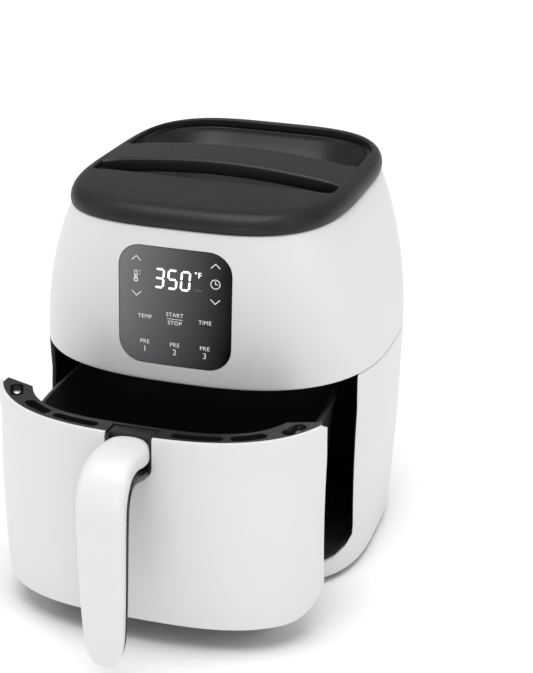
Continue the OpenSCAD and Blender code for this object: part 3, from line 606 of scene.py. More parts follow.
@dataclass(frozen=True)
class Finish:
    """A surface finish: a body colour, its gloss, and the grain that the maker's tool leaves.

    colour, shade and the painted reflection's colour are sRGB hex codes, and grain, depth, blotch and the
    painted reflection's half width are real sizes in millimetres. A painted reflection runs across X, from
    colour at that half width to the reflection's colour at the other side.
    """

    name: str
    colour: str
    shade: str
    roughness: float
    ior: float = 1.5
    metallic: float = 0.0
    grain: float = 0.6
    depth: float = 0.01
    blotch: float = 40.0
    vary: float = 0.03
    coat: float = 0.0
    coat_roughness: float = 0.05
    stretch: tuple[float, float, float] = (1.0, 1.0, 1.0)
    glow: float = 0.0
    subsurface: float = 0.0
    painted_reflection: str = ""
    painted_reflection_half: float = 36.0

    def material(self) -> bpy.types.Material:
        """The finish as a node material, made once.

        Returns:
            The material.
        """
        ready = bpy.data.materials.get(self.name)
        if ready:
            return ready
        made = bpy.data.materials.new(self.name)
        made.use_nodes = True
        tree = made.node_tree
        tree.nodes.clear()
        where = node(tree, "ShaderNodeTexCoord").outputs["Object"]
        run = node(tree, "ShaderNodeMapping", {"Vector": where, "Scale": self.stretch}).outputs["Vector"]
        fine = node(tree, "ShaderNodeTexNoise", {"Vector": run, "Scale": 1 / (self.grain * MM),
                                                 "Detail": 3.0, "Roughness": 0.55})
        broad = node(tree, "ShaderNodeTexNoise", {"Vector": where, "Scale": 1 / (self.blotch * MM),
                                                  "Detail": 2.0, "Roughness": 0.5})
        body = two_colours(tree, broad.outputs["Fac"], self.colour, self.shade)
        # Painted reflection: the body colour fades across X to a grey, standing in for light from the left
        # mirrored in the surface.
        if self.painted_reflection:
            across = node(tree, "ShaderNodeSeparateXYZ", {"Vector": where}).outputs["X"]
            share = node(tree, "ShaderNodeMapRange", {
                "Value": across, "From Min": self.painted_reflection_half * MM, "From Max": -self.painted_reflection_half * MM})
            body = two_colours(tree, share.outputs["Result"], self.colour, self.painted_reflection)
        gloss = node(tree, "ShaderNodeMapRange", {
            "Value": fine.outputs["Fac"], "From Min": 0.3, "From Max": 0.7,
            "To Min": max(0.0, self.roughness - self.vary), "To Max": self.roughness + self.vary})
        bump = node(tree, "ShaderNodeBump", {"Height": fine.outputs["Fac"], "Strength": 0.6,
                                             "Distance": self.depth * MM})
        shader = node(tree, "ShaderNodeBsdfPrincipled", {
            "Base Color": body, "Roughness": gloss.outputs["Result"],
            "Normal": bump.outputs["Normal"], "Metallic": self.metallic, "IOR": self.ior,
            "Coat Weight": self.coat, "Coat Roughness": self.coat_roughness})
        if self.subsurface:
            shader.inputs["Subsurface Weight"].default_value = self.subsurface
            shader.inputs["Subsurface Radius"].default_value = (0.004, 0.004, 0.004)
            shader.inputs["Subsurface Scale"].default_value = 1.0
        # Emission: real light for the lit display segments, a painted glow for printed ink.
        if self.glow:
            shader.inputs["Emission Color"].default_value = linear(self.colour)
            shader.inputs["Emission Strength"].default_value = self.glow
        node(tree, "ShaderNodeOutputMaterial", {"Surface": shader.outputs["BSDF"]})
        return made


# Injection moulded ABS from a finely etched tool: bright, satin, soft wide highlights.
WHITE_ABS = Finish("abs_white_satin", "#DADAD9", "#D7D7D6", 0.33, ior=1.53, grain=0.9, depth=0.006,
                   blotch=60, vary=0.02)
# Charcoal ABS from a spark-eroded tool: matt with a grey bloom on every slope.
CHARCOAL_ABS = Finish("abs_charcoal_matt", "#1C1C1E", "#18181A", 0.45, ior=1.36, grain=0.7, depth=0.02,
                      blotch=45, vary=0.05)
# The same plastic inside the intake, where the tool was left smoother.
INTAKE_ABS = Finish("abs_intake_smooth", "#1A1A1C", "#161618", 0.38, ior=1.38, grain=0.8, depth=0.012,
                    blotch=50, vary=0.04)
# Glass-filled PBT: black, hard and slightly glossy, for what gets hot.
BLACK_PBT = Finish("pbt_black_semi_gloss", "#131315", "#0F0F11", 0.28, ior=1.57, grain=0.8, depth=0.008,
                   blotch=50, vary=0.04)
# Polished black PBT of the drawer bay, with clear reflections.
BAY_PBT = Finish("pbt_bay_gloss", "#313135", "#2B2B2E", 0.24, ior=1.57, grain=1.4, depth=0.006,
                 blotch=70, vary=0.04)
# Charcoal PBT with a fine texture on the drawer's inner frame.
TRIM_PBT = Finish("pbt_trim_fine_texture", "#19191B", "#151517", 0.42, ior=1.48, grain=0.6, depth=0.014,
                  blotch=30, vary=0.05)
# Smoked acrylic over black paint, with an anti-glare coat that takes its mirror away: a soft black
# sheen, and a painted reflection that fades to grey towards its left edge, in place of light from the left
# mirrored in the lens.
ACRYLIC = Finish("acrylic_smoked_black_painted_reflection", "#080809", "#070708", 0.24, ior=1.18, grain=3.0, depth=0.001,
                 blotch=50, vary=0.02, painted_reflection="#77777A", painted_reflection_half=35.0)
# Screen-printed ink behind the acrylic, with a painted glow: it emits light though it is no lamp.
INK = Finish("ink_print_white_painted_glow", "#D9DBDD", "#CFD1D4", 0.5, grain=0.3, depth=0.001, blotch=8, glow=0.35)
# Lit segments of the display, diffused by the smoked acrylic.
LIT = Finish("led_segment_white", "#F4F8FF", "#E9F0FA", 0.4, grain=0.4, depth=0.001, blotch=6, glow=1.1)
# Dim legend printed in grey, with a faint painted glow.
FAINT_INK = Finish("ink_print_grey_painted_glow", "#6E7073", "#66686B", 0.5, grain=0.3, depth=0.001, blotch=8, glow=0.05)
# PTFE non-stick sprayed on steel: dark, with a low orange peel and a soft sheen.
NON_STICK = Finish("ptfe_non_stick", "#38383C", "#323236", 0.32, ior=1.38, grain=0.9, depth=0.02,
                   blotch=25, vary=0.06, coat=0.25, coat_roughness=0.2)
# Moulded EPDM feet and silicone bumpers: dull, with a dusty bloom.
RUBBER = Finish("epdm_rubber", "#1E1E1F", "#191919", 0.72, grain=0.5, depth=0.02, blotch=15, vary=0.08)
SILICONE = Finish("silicone_black", "#2A2A2C", "#242426", 0.6, ior=1.41, grain=0.6, depth=0.01, blotch=12)
# Zinc plated screws: pale, brushed round by the plating barrel.
ZINC = Finish("zinc_plated_steel", "#C9CBCE", "#B4B6BA", 0.3, metallic=1.0, grain=0.3, depth=0.006,
              blotch=4, vary=0.1)
# Hot-dip aluminised sheet: bright with a rolled grain along X.
ALUMINISED = Finish("aluminised_steel_rolled", "#BFC1C3", "#A3A6A9", 0.36, metallic=1.0, grain=0.5,
                    depth=0.01, blotch=12, vary=0.12, stretch=(0.08, 1.0, 1.0))
# Incoloy heater sheath after its first heats: dark olive grey oxide.
HEATER_SHEATH = Finish("incoloy_oxidised", "#55524B", "#3E3C38", 0.5, metallic=0.85, grain=0.6,
                       depth=0.02, blotch=10, vary=0.1)
PHENOLIC = Finish("phenolic_brown", "#3A2A20", "#2E221B", 0.5, grain=0.5, depth=0.02, blotch=8)
# Stacked lamination steel with its edges showing as fine lines along Z.
LAMINATION = Finish("lamination_steel", "#6F7278", "#54575C", 0.45, metallic=1.0, grain=0.5, depth=0.04,
                    blotch=9, vary=0.1, stretch=(0.2, 0.2, 2.0))
# Enamelled copper wire, wound in turns.
COPPER = Finish("copper_enamelled", "#B0602C", "#8C4720", 0.3, metallic=0.9, grain=0.6, depth=0.06,
                blotch=5, vary=0.08, stretch=(0.2, 2.0, 0.2))
CAST_ALUMINIUM = Finish("aluminium_fan_stamped", "#C6C8CA", "#AFB2B5", 0.34, metallic=1.0, grain=0.5,
                        depth=0.012, blotch=14, vary=0.1)
FAN_NYLON = Finish("nylon_fan_ivory", "#D7D2C3", "#CCC6B6", 0.48, grain=0.7, depth=0.012, blotch=20)
# Solder resist over glass epoxy with the weave faintly raised.
CIRCUIT = Finish("circuit_solder_resist", "#0F4A2C", "#0C3D25", 0.34, grain=0.4, depth=0.012, blotch=6,
                 coat=0.3)
COMPONENT = Finish("component_sleeve_blue", "#27466E", "#1F3A5D", 0.4, grain=0.5, depth=0.01, blotch=7)
BRASS = Finish("spring_brass", "#C3A052", "#A98843", 0.3, metallic=1.0, grain=0.3, depth=0.008, blotch=4,
               vary=0.08)
LEAD_JACKET = Finish("pvc_lead_jacket", "#202022", "#1A1A1C", 0.5, grain=0.6, depth=0.01, blotch=12)
PLUNGER_RED = Finish("acetal_red", "#A8242A", "#951E24", 0.32, ior=1.48, grain=0.5, depth=0.006, blotch=5)
DISPLAY_BLACK = Finish("display_housing_black", "#1A1B1D", "#151617", 0.5, grain=0.6, depth=0.01, blotch=8)
TABLE = Finish("table_white_laminate", "#FBFBFB", "#F9F9F9", 0.6, grain=2.0, depth=0.004, blotch=300,
               vary=0.03)

CARRIED = {
    "display_module": DISPLAY_BLACK, "control_board": CIRCUIT, "board_screws": ZINC,
    "touch_springs": BRASS, "heater_chamber": ALUMINISED, "chamber_screws": ZINC,
    "heating_element": HEATER_SHEATH, "heater_clips": ALUMINISED, "temperature_sensor": ZINC,
    "thermal_cutout": PHENOLIC, "motor_bracket": ALUMINISED, "motor_stator": LAMINATION,
    "motor_coils": COPPER, "motor_bushes": BRASS, "power_board": CIRCUIT,
    "power_components": COMPONENT, "exhaust_duct": ALUMINISED, "mains_lead": LEAD_JACKET,
    "door_switch": DISPLAY_BLACK, "motor_shaft": ZINC, "motor_rotor": LAMINATION,
    "convection_fan": CAST_ALUMINIUM, "cooling_fan": FAN_NYLON, "fan_nut": ZINC,
    "top_cover_screws": ZINC, "handle_screws": ZINC, "basket_screws": ZINC, "bay_ceiling": ALUMINISED,
    "switch_plunger": PLUNGER_RED, "base_screws": ZINC, "tray_bumpers": SILICONE,
}


def dress_inner_works() -> None:
    """Give every CAD node that stays its own finish."""
    for name, finish in CARRIED.items():
        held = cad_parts[name]
        if not held.material_slots:
            held.data.materials.append(finish.material())
        for place in held.material_slots:
            place.material = finish.material()


# ----------------------------------------------------------------- housing
@dataclass
class HousingShells:
    """The two white mouldings of the housing, with the open drawer's mouth between them."""

    form: Form
    groove: float = 0.9
    panel_half: float = 36.0
    panel_tall: float = 76.0
    panel_r: float = 14.5
    panel_z: float = 196.0
    panel_gap: float = 0.3
    gland_r: float = 8.1
    gland_z: float = 30.0
    grille_half: float = 32.0
    grille_low: float = 153.4
    grille_high: float = 179.4

    def wall(self, name: str, outer: Sequence[Flat], low: float, high: float) -> bpy.types.Object:
        """A shell that is open at its ends, with its inside one wall in.

        Args:
            name: name of the piece.
            outer: (level, inset) pairs up its outside.
            low: lowest level.
            high: highest level.

        Returns:
            The shell.
        """
        inner = [(z, self.form.wall) for z in steps(high, low, 14)]
        rings = [self.form.ring(z, inset) for z, inset in [*outer, *inner]]
        return skin(name, rings, Ends.LOOPED)

    def panel_outline(self, gap: float, count: int = 96) -> list[Flat]:
        """Outline of the touch panel.

        Args:
            gap: how much larger it is made.
            count: number of points.

        Returns:
            The outline in the XZ plane.
        """
        half, tall = self.panel_half + gap, self.panel_tall / 2 + gap
        return even(round_box(-half, self.panel_z - tall, half, self.panel_z + tall,
                              self.panel_r + gap, self.panel_r + gap, 12), count)

    def upper(self) -> None:
        """The upper moulding, with the panel's window and the exhaust window."""
        seam, top = self.form.seam_z, self.form.lid_z
        lip = [(seam, self.groove + 0.5), (seam + 0.1, self.groove), (seam + 0.45, 0.35),
               (seam + 0.9, 0.08), (seam + 1.5, 0)]
        outer = [*lip, *((z, 0) for z in steps(seam + 4, top - 0.6, 30)), (top, 0.6)]
        piece = self.wall("upper_shell", outer, seam, top)
        work(piece, prism("window", self.panel_outline(self.panel_gap), AHEAD, -90, upright), Solid.CUT)
        hole = even(round_box(-self.grille_half, self.grille_low, self.grille_half, self.grille_high,
                              2, 2), 48)
        work(piece, prism("exhaust", hole, 90, BEHIND, upright), Solid.CUT)
        dress(piece, self.form, "housing", WHITE_ABS, "white_shell", "upper_housing")

    def lower(self) -> None:
        """The lower moulding, with a rounded lip round the drawer's mouth."""
        foot, seam = self.form.foot_z, self.form.seam_z
        toe = [(foot, 1.9), (foot + 0.3, 1.0), (foot + 1.0, 0.35), (foot + 2.2, 0.05)]
        lip = [(seam - 1.5, 0), (seam - 0.9, 0.08), (seam - 0.45, 0.35), (seam - 0.1, self.groove),
               (seam, self.groove + 0.5)]
        outer = [*toe, *((z, 0) for z in steps(foot + 5, seam - 4, 32)), *lip]
        piece = self.wall("lower_shell", outer, foot, seam)
        work(piece, prism("mouth", self.form.opening(), AHEAD, -30, upright), Solid.CUT)
        bore = even(circle(0, self.gland_z, self.gland_r, 64), 64)
        work(piece, prism("gland_hole", bore, 90, BEHIND, upright), Solid.CUT)
        soften(piece, 0.55, 48, 2, 0.05)
        dress(piece, self.form, "housing", WHITE_ABS, "white_shell", "lower_housing")

    def build(self) -> None:
        """Build both mouldings."""
        self.upper()
        self.lower()


@dataclass
class Lid:
    """The charcoal top: a rounded shoulder, a soft crease, the carry bar and the intake bowl."""

    form: Form
    height: float = 13.5
    open_half: float = 79.5
    slot_front: float = -52.0
    bar_front: float = -29.0
    bar_back: float = 14.0
    rear: float = 101.0
    front_r: float = 7.0
    rear_r: float = 48.0
    middle_y: float = 19.0
    rise: float = 5.6
    bar_t: float = 9.0
    bar_r: float = 2.2
    wall: float = 2.6
    lip: float = 1.3
    rim_deep: float = 4.6
    bowl_floor: float = 229.6
    bowl_wall: float = 1.6
    slot_half: float = 1.75
    slot_reach: float = 44.0
    slots: int = 11
    profile: tuple[Flat, ...] = (
        # inset from the lid's edge, height above its seat
        (0.2, 0.0), (-0.5, 0.25), (-0.9, 1.0), (-1.1, 3.2), (-0.6, 5.8), (0.6, 8.2), (2.4, 10.1),
        (4.6, 11.5), (7.5, 12.35), (11.0, 12.8), (14.5, 12.98), (17.0, 13.04), (19.5, 13.16),
        (23.0, 13.4), (28.0, 13.5))

    def top(self, inset: float) -> float:
        """Height of the lid's skin.

        Args:
            inset: distance from the lid's edge.

        Returns:
            Height above the lid's seat.
        """
        rising = self.profile[4:]
        if inset >= rising[-1][0]:
            return rising[-1][1]
        for (d0, z0), (d1, z1) in zip(rising, rising[1:]):
            if inset <= d1:
                return z0 + (z1 - z0) * (inset - d0) / (d1 - d0)
        return rising[-1][1]

    def mouth(self, gap: float = 0.0) -> list[Flat]:
        """Outline of the one opening that the bar crosses, made smaller by gap."""
        return round_box(-self.open_half + gap, self.slot_front + gap, self.open_half - gap,
                         self.rear - gap, self.front_r - min(gap, 3), self.rear_r - gap, 16)

    def cast(self, point: Flat, gap: float = 0.0) -> Flat:
        """Where the ray from the lid's middle to a point meets the opening.

        Args:
            point: the point.
            gap: how much smaller the opening is made.

        Returns:
            The meeting place, or the point itself where there is none.
        """
        edge = self.mouth(gap)
        dx, dy = point[0], point[1] - self.middle_y
        for a, b in zip(edge, [*edge[1:], edge[0]]):
            ex, ey = b[0] - a[0], b[1] - a[1]
            cross = dx * ey - dy * ex
            if abs(cross) < 1e-9:
                continue
            along = (a[0] * ey - (a[1] - self.middle_y) * ex) / cross
            share = (a[0] * dy - (a[1] - self.middle_y) * dx) / cross
            if along > 0 and -1e-6 <= share <= 1 + 1e-6:
                return dx * along, self.middle_y + dy * along
        return point

    def cover(self) -> bpy.types.Object:
        """The lid's skin, from its seat over the shoulder to the rim of the opening.

        Returns:
            The piece, in millimetres.
        """
        seat = self.form.lid_z
        edge = self.form.outline(seat, 0.0, 240)
        rings = []
        smooth = flow(self.profile[:5], 2)
        for inset, z in smooth[:-1]:
            rings.append([(*p, seat + z) for p in grown(edge, -inset)])
        start = grown(edge, -self.profile[4][0])
        goal = [self.cast(p) for p in start]
        for share in steps(0, 1, 22):
            share = share ** 1.5
            ring = []
            for a, b in zip(start, goal):
                reach = math.dist(a, b) - self.lip
                inset = share * reach
                x = a[0] + (b[0] - a[0]) * inset / math.dist(a, b)
                y = a[1] + (b[1] - a[1]) * inset / math.dist(a, b)
                ring.append((x, y, seat + self.top(self.profile[4][0] + inset)))
            rings.append(ring)
        rim = rings[-1]
        for turn in steps(15, 90, 5):
            a = math.radians(turn)
            rings.append([(p[0] + (q[0] - p[0]) * math.sin(a), p[1] + (q[1] - p[1]) * math.sin(a),
                           p[2] - self.lip * (1 - math.cos(a))) for p, q in zip(rim, goal)])
        for drop in (3.0, self.rim_deep):
            rings.append([(*q, p[2] - drop) for p, q in zip(rim, goal)])
        under = [self.cast(p, -self.wall) for p in start]
        rings.append([(*q, p[2] - self.rim_deep) for p, q in zip(rim, under)])
        rings.append([(*q, p[2] - self.wall - 0.4) for p, q in zip(rim, under)])
        for inset, z in ((self.wall + 7.0, 8.2), (self.wall + 2.0, 5.5), (self.wall, 2.5), (self.wall, 0)):
            rings.append([(*p, seat + z) for p in grown(edge, -inset)])
        return skin("top_lid", rings, Ends.LOOPED)

    def bar(self) -> bpy.types.Object:
        """The arched carry bar, its ends sunk into the lid's sides.

        Returns:
            The piece, in millimetres.
        """
        seat, half = self.form.lid_z, self.open_half
        lid_half = self.form.sizes(seat)[0]
        rings = []
        for x in [-half - 5, -half - 3.2, *steps(-half - 2.6, half + 2.6, 56), half + 3.2, half + 5]:
            u = min(1.0, abs(x) / half)
            arch = self.rise * (1 - u * u) ** 1.4
            top = seat + self.top(lid_half - abs(x)) + 0.07 + arch
            if abs(x) > half + 3:
                top -= 0.5 if abs(x) < half + 4 else 1.6
            low = seat + self.height - self.bar_t - 0.3 + arch * 0.96
            if u >= 1:
                low = max(low, top - 3.0)
            flare = 2.4 * max(0.0, 1 - (half - abs(x)) / 9) ** 2 if abs(x) < half else 2.4
            section = even(round_box(self.bar_front - flare, low, self.bar_back + flare, top,
                                     min(1.4, (top - low) / 2.2), min(self.bar_r, (top - low) / 2.1), 6), 64)
            rings.append([(x, y, z) for y, z in section])
        return skin("carry_bar", rings)

    def bowl(self) -> bpy.types.Object:
        """The intake bowl under the opening: a stepped rim, a soft wall and a slotted floor.

        Returns:
            The piece, in millimetres.
        """
        seat, floor, t = self.form.lid_z, self.bowl_floor, self.bowl_wall
        rim = seat + 7.2
        outside = ((20, floor), (12, floor + 2.8), (5, floor + 8), (0, floor + 14), (-1.5, rim - 2),
                   (-1.4, rim + 0.4))
        inside = ((2.2, rim + 0.4), (2.5, rim + 0.1), (2.7, rim - 0.6), (4.4, rim - 3.0), (7.6, rim - 6.6),
                  (12.0, floor + 11.4), (16.5, floor + 7.6), (21.0, floor + 4.4), (26, floor + 2.4),
                  (31, floor + t))
        piece = skin("intake_bowl_skin", [level(even(self.mouth(gap), 160), z)
                                          for gap, z in (*outside, *inside)])
        slots = []
        for x in steps(-self.slot_reach, self.slot_reach, self.slots):
            plan = round_box(x - self.slot_half, self.bar_front + 11, x + self.slot_half, self.bar_back + 17,
                             1.6, 1.6)
            slots.append(prism("slot", even(plan, 32), floor - 2, floor + 4))
        work(piece, together("slots", slots), Solid.CUT)
        return piece

    def build(self) -> None:
        """Build the lid, its bar and the bowl."""
        cover = self.cover()
        dress(cover, self.form, "housing", CHARCOAL_ABS, "charcoal_lid", "top_cover")
        bar = self.bar()
        dress(bar, self.form, "housing", CHARCOAL_ABS, "charcoal_lid")
        bowl = self.bowl()
        dress(bowl, self.form, "housing", INTAKE_ABS, "bowl_plastic", "intake_bowl")


# -------------------------------------------------------------- touch panel
@dataclass
class TouchPanel:
    """The smoked lens, flush in the upper shell, with its printed keys and lit digits."""

    form: Form
    shells: HousingShells
    sink: float = 0.2
    thick: float = 2.0
    lift: float = 0.05
    digit_tall: float = 12.6
    digit_wide: float = 6.2
    stroke: float = 1.3
    slant: float = 0.07
    relief: float = 0.02
    digit_z: float = 214.2
    legend_tall: float = 2.5
    label_z: float = 171.9
    number_z: float = 167.0

    def lens(self) -> None:
        """The lens, its edge rounded and its face on the housing's curve."""
        rings = []
        outline = self.shells.panel_outline(0)
        middle = self.shells.panel_z
        for gap, back in ((0.0, self.thick), (0.0, 0.5), (0.12, 0.22), (0.4, 0.06), (0.8, 0.0)):
            rings.append([(x, self.form.face(x, z, self.sink) + back, z) for x, z in grown(outline, -gap)])
        inner = grown(outline, -0.8)
        for share in (0.85, 0.68, 0.5, 0.34, 0.18, 0.04):
            flat = [(x * share, middle + (z - middle) * share) for x, z in inner]
            rings.append([(x, self.form.face(x, z, self.sink), z) for x, z in flat])
        piece = skin("panel_lens", rings)
        dress(piece, self.form, "housing", ACRYLIC, "panel_lens", "touch_panel_lens")

    def wrap(self, piece: bpy.types.Object, finish: Finish) -> None:
        """Lay flat artwork on the lens and dress it.

        Args:
            piece: the artwork, drawn in XZ with its relief along Y.
            finish: its ink or light.
        """
        for vertex in piece.data.vertices:
            x, y, z = vertex.co
            vertex.co.y = self.form.face(x, z, self.sink) - self.lift + y
        dress(piece, self.form, "housing", finish, "panel_lens")

    def words(self, name: str, text: str, x: float, z: float, tall: float, finish: Finish) -> None:
        """One printed word, centred at x and z.

        Args:
            name: name of the piece.
            text: the generic word or number.
            x: its middle.
            z: its middle.
            tall: height of a capital.
            finish: the ink.
        """
        clear()
        bpy.ops.object.text_add()
        word = bpy.context.object
        word.name = name
        word.data.body = text
        word.data.align_x = "CENTER"
        word.data.align_y = "CENTER"
        word.data.size = tall / 0.69
        word.data.space_character = 1.08
        word.data.extrude = self.relief
        word.data.resolution_u = 4
        bpy.ops.object.convert(target="MESH")
        for vertex in word.data.vertices:
            vertex.co = (x + vertex.co.x, -vertex.co.z, z + vertex.co.y)
        tidy(word, 1e-3)
        self.wrap(word, finish)

    def stroke_bar(self, a: Flat, b: Flat, width: float, point: bool = False) -> bpy.types.Object:
        """A straight printed stroke.

        Args:
            a: place of one end, in XZ.
            b: place of the other end.
            width: its width.
            point: True for pointed ends that stop at a and b, False for round ones.

        Returns:
            The flat stroke.
        """
        run = math.dist(a, b)
        ux, uz = (b[0] - a[0]) / run, (b[1] - a[1]) / run
        h = width / 2
        if point:
            shape = [(0, 0), (h, -h), (run - h, -h), (run, 0), (run - h, h), (h, h), (h * .5, h * .5),
                     (h * .25, h * .25)]
        else:
            shape = round_box(-h, -h, run + h, h, h * 0.95, h * 0.95, 3)
        flat = [(a[0] + u * ux - v * uz, a[1] + u * uz + v * ux) for u, v in shape]
        return prism("stroke", flat, -self.relief, self.relief, upright)

    def loop(self, x: float, z: float, r: float, width: float) -> bpy.types.Object:
        """A printed ring.

        Args:
            x: its middle.
            z: its middle.
            r: outer radius.
            width: width of the line.

        Returns:
            The flat ring.
        """
        half = self.relief
        return skin("loop", [upright(circle(x, z, radius, 32), y) for radius, y in (
            (r, half), (r, -half), (r - width, -half), (r - width, half))], Ends.LOOPED)

    def chevron(self, name: str, x: float, z: float, up: bool) -> None:
        """An arrow key of two strokes.

        Args:
            name: name of the piece.
            x: its middle.
            z: its middle.
            up: True when it points up.
        """
        tip = 2.7 if up else -2.7
        arms = [self.stroke_bar((x + side * 2.8, z - tip / 2), (x, z + tip / 2), 0.5)
                for side in (-1, 1)]
        self.wrap(together(name, arms), INK)

    def digit(self, name: str, parts: str, x: float, z: float) -> None:
        """A lit digit made of named segments.

        Args:
            name: name of the piece.
            parts: letters a to g of its lit segments, as on any such display.
            x: its middle.
            z: its middle.
        """
        w, h, gap = self.digit_wide / 2 - 0.5, self.digit_tall / 2 - 0.5, 0.28
        ends = {"a": ((-w, h), (w, h)), "b": ((w, h), (w, 0)), "c": ((w, 0), (w, -h)),
                "d": ((-w, -h), (w, -h)), "e": ((-w, 0), (-w, -h)), "f": ((-w, h), (-w, 0)),
                "g": ((-w, 0), (w, 0))}
        made = []
        for part in parts:
            (ax, az), (bx, bz) = ends[part]
            run = math.hypot(bx - ax, bz - az)
            ux, uz = (bx - ax) / run * gap, (bz - az) / run * gap
            a = (x + ax + ux + self.slant * az, z + az + uz)
            b = (x + bx - ux + self.slant * bz, z + bz - uz)
            made.append(self.stroke_bar(a, b, self.stroke, True))
        self.wrap(together(name, made), LIT)

    def thermometer(self, x: float, z: float) -> None:
        """The temperature mark: a tube, a bulb, a thread and two ticks.

        Args:
            x: middle of the tube.
            z: middle of its height.
        """
        made = [self.loop(x, z - 2.6, 1.5, 0.45), self.stroke_bar((x - 0.8, z - 1.2), (x - 0.8, z + 3), 0.4),
                self.stroke_bar((x + 0.8, z - 1.2), (x + 0.8, z + 3), 0.4),
                self.stroke_bar((x - 0.8, z + 3.1), (x + 0.8, z + 3.1), 0.4),
                self.stroke_bar((x, z - 2.6), (x, z + 0.8), 0.45)]
        made += [self.stroke_bar((x + 2.1, z + k), (x + 3.0, z + k), 0.3) for k in (1.0, 3.0)]
        self.wrap(together("mark_temperature", made), INK)

    def clock(self, x: float, z: float) -> None:
        """The timer mark: a dial with two hands.

        Args:
            x: middle of the dial.
            z: middle of the dial.
        """
        made = [self.loop(x, z, 3.1, 0.5), self.stroke_bar((x, z), (x, z + 1.9), 0.45),
                self.stroke_bar((x, z), (x + 1.4, z), 0.45)]
        self.wrap(together("mark_timer", made), INK)

    def build(self) -> None:
        """Build the lens and everything printed or lit on it."""
        self.lens()
        for name, parts, x in (("digit_hundreds", "abcdg", -9.5), ("digit_tens", "acdfg", -1.2),
                               ("digit_ones", "abcdef", 7.1)):
            self.digit(name, parts, x, self.digit_z)
        self.words("unit_fahrenheit", "°F", 15.0, 218.6, 3.6, LIT)
        self.words("unit_minutes", "MIN", 15.2, 209.0, 1.7, FAINT_INK)
        for name, x, z, up in (("key_heat_up", -24.4, 225.4, True), ("key_heat_down", -24.4, 202.6, False),
                               ("key_time_up", 25.9, 225.8, True), ("key_time_down", 25.9, 203.0, False)):
            self.chevron(name, x, z, up)
        self.thermometer(-24.8, self.digit_z)
        self.clock(25.9, 214.3)
        tall = self.legend_tall
        self.words("key_temp", "TEMP", -18.9, 188.4, tall, INK)
        self.words("key_start", "START", 0.4, 191.4, tall, INK)
        self.words("key_stop", "STOP", 0.4, 186.2, tall, INK)
        self.wrap(together("key_rule", [self.stroke_bar((-4.6, 188.8), (5.4, 188.8), 0.3)]), INK)
        self.words("key_time", "TIME", 19.7, 188.8, tall, INK)
        for number, x in (("1", -19.0), ("2", 0.4), ("3", 19.7)):
            self.words("preset_label_" + number, "PRE", x, self.label_z, 2.6, INK)
            self.words("preset_" + number, number, x, self.number_z, 3.7, INK)


# --------------------------------------------------------------------- bay
@dataclass
class Bay:
    """The glossy black lining of the drawer's bay, with its runners."""

    form: Form
    wall: float = 1.8
    back: float = 89.0
    corner: float = 56.0
    ceiling: float = 147.0
    rail_x: float = 58.0
    rail_half: float = 3.0
    rail_front: float = -70.0
    rail_back: float = 62.0
    rail_r: float = 2.8
    rail_tall: float = 1.6

    def block(self, name: str, gap: float, front: float, top: float) -> bpy.types.Object:
        """The bay's space as a solid, with round corners at its back.

        Args:
            name: name of the piece.
            gap: how much smaller it is made.
            front: depth of its front end.
            top: level of its top.

        Returns:
            The solid.
        """
        half = self.form.opening_half - gap
        shape = even(round_box(-half, self.form.sill_z + gap, half, top, self.form.opening_r - gap, 0.5,
                               10), 128)
        corner, back = self.corner - gap, self.back - gap
        start = back - corner
        rings = [upright(shape, y) for y in (front, start - 40, start)]
        for angle in steps(9, 81, 8):
            a = math.radians(angle)
            share = (half - corner * (1 - math.cos(a))) / half
            low = 6.0 * max(0.0, math.sin(a) - 0.6) ** 2
            rings.append([(x * share, start + corner * math.sin(a), max(z, self.form.sill_z + gap + low))
                          for x, z in shape])
        share = (half - corner) / half
        rings.append([(x * share, back, max(z, self.form.sill_z + gap + 1.5)) for x, z in shape])
        return skin(name, rings)

    def build(self) -> None:
        """Build the liner, open at its front and top."""
        form = self.form
        piece = self.block("bay_lining", 0.1, -114, self.ceiling)
        work(piece, self.block("bay_space", self.wall, -130, self.ceiling + 8), Solid.CUT)
        core = skin("core", [form.ring(z, form.wall + 0.5) for z in steps(12, 150, 10)])
        work(piece, core, Solid.KEEP)
        floor = form.sill_z + self.wall
        for x in (-self.rail_x, self.rail_x):
            plan = even(round_box(x - self.rail_half, self.rail_front, x + self.rail_half,
                                  self.rail_back, self.rail_r, self.rail_r, 4), 48)
            work(piece, prism("rail", plan, floor - 0.6, floor + self.rail_tall), Solid.ADD)
        soften(piece, 0.5, 50, 2, 0.04)
        dress(piece, form, "housing", BAY_PBT, "bay_black", "bay_liner")


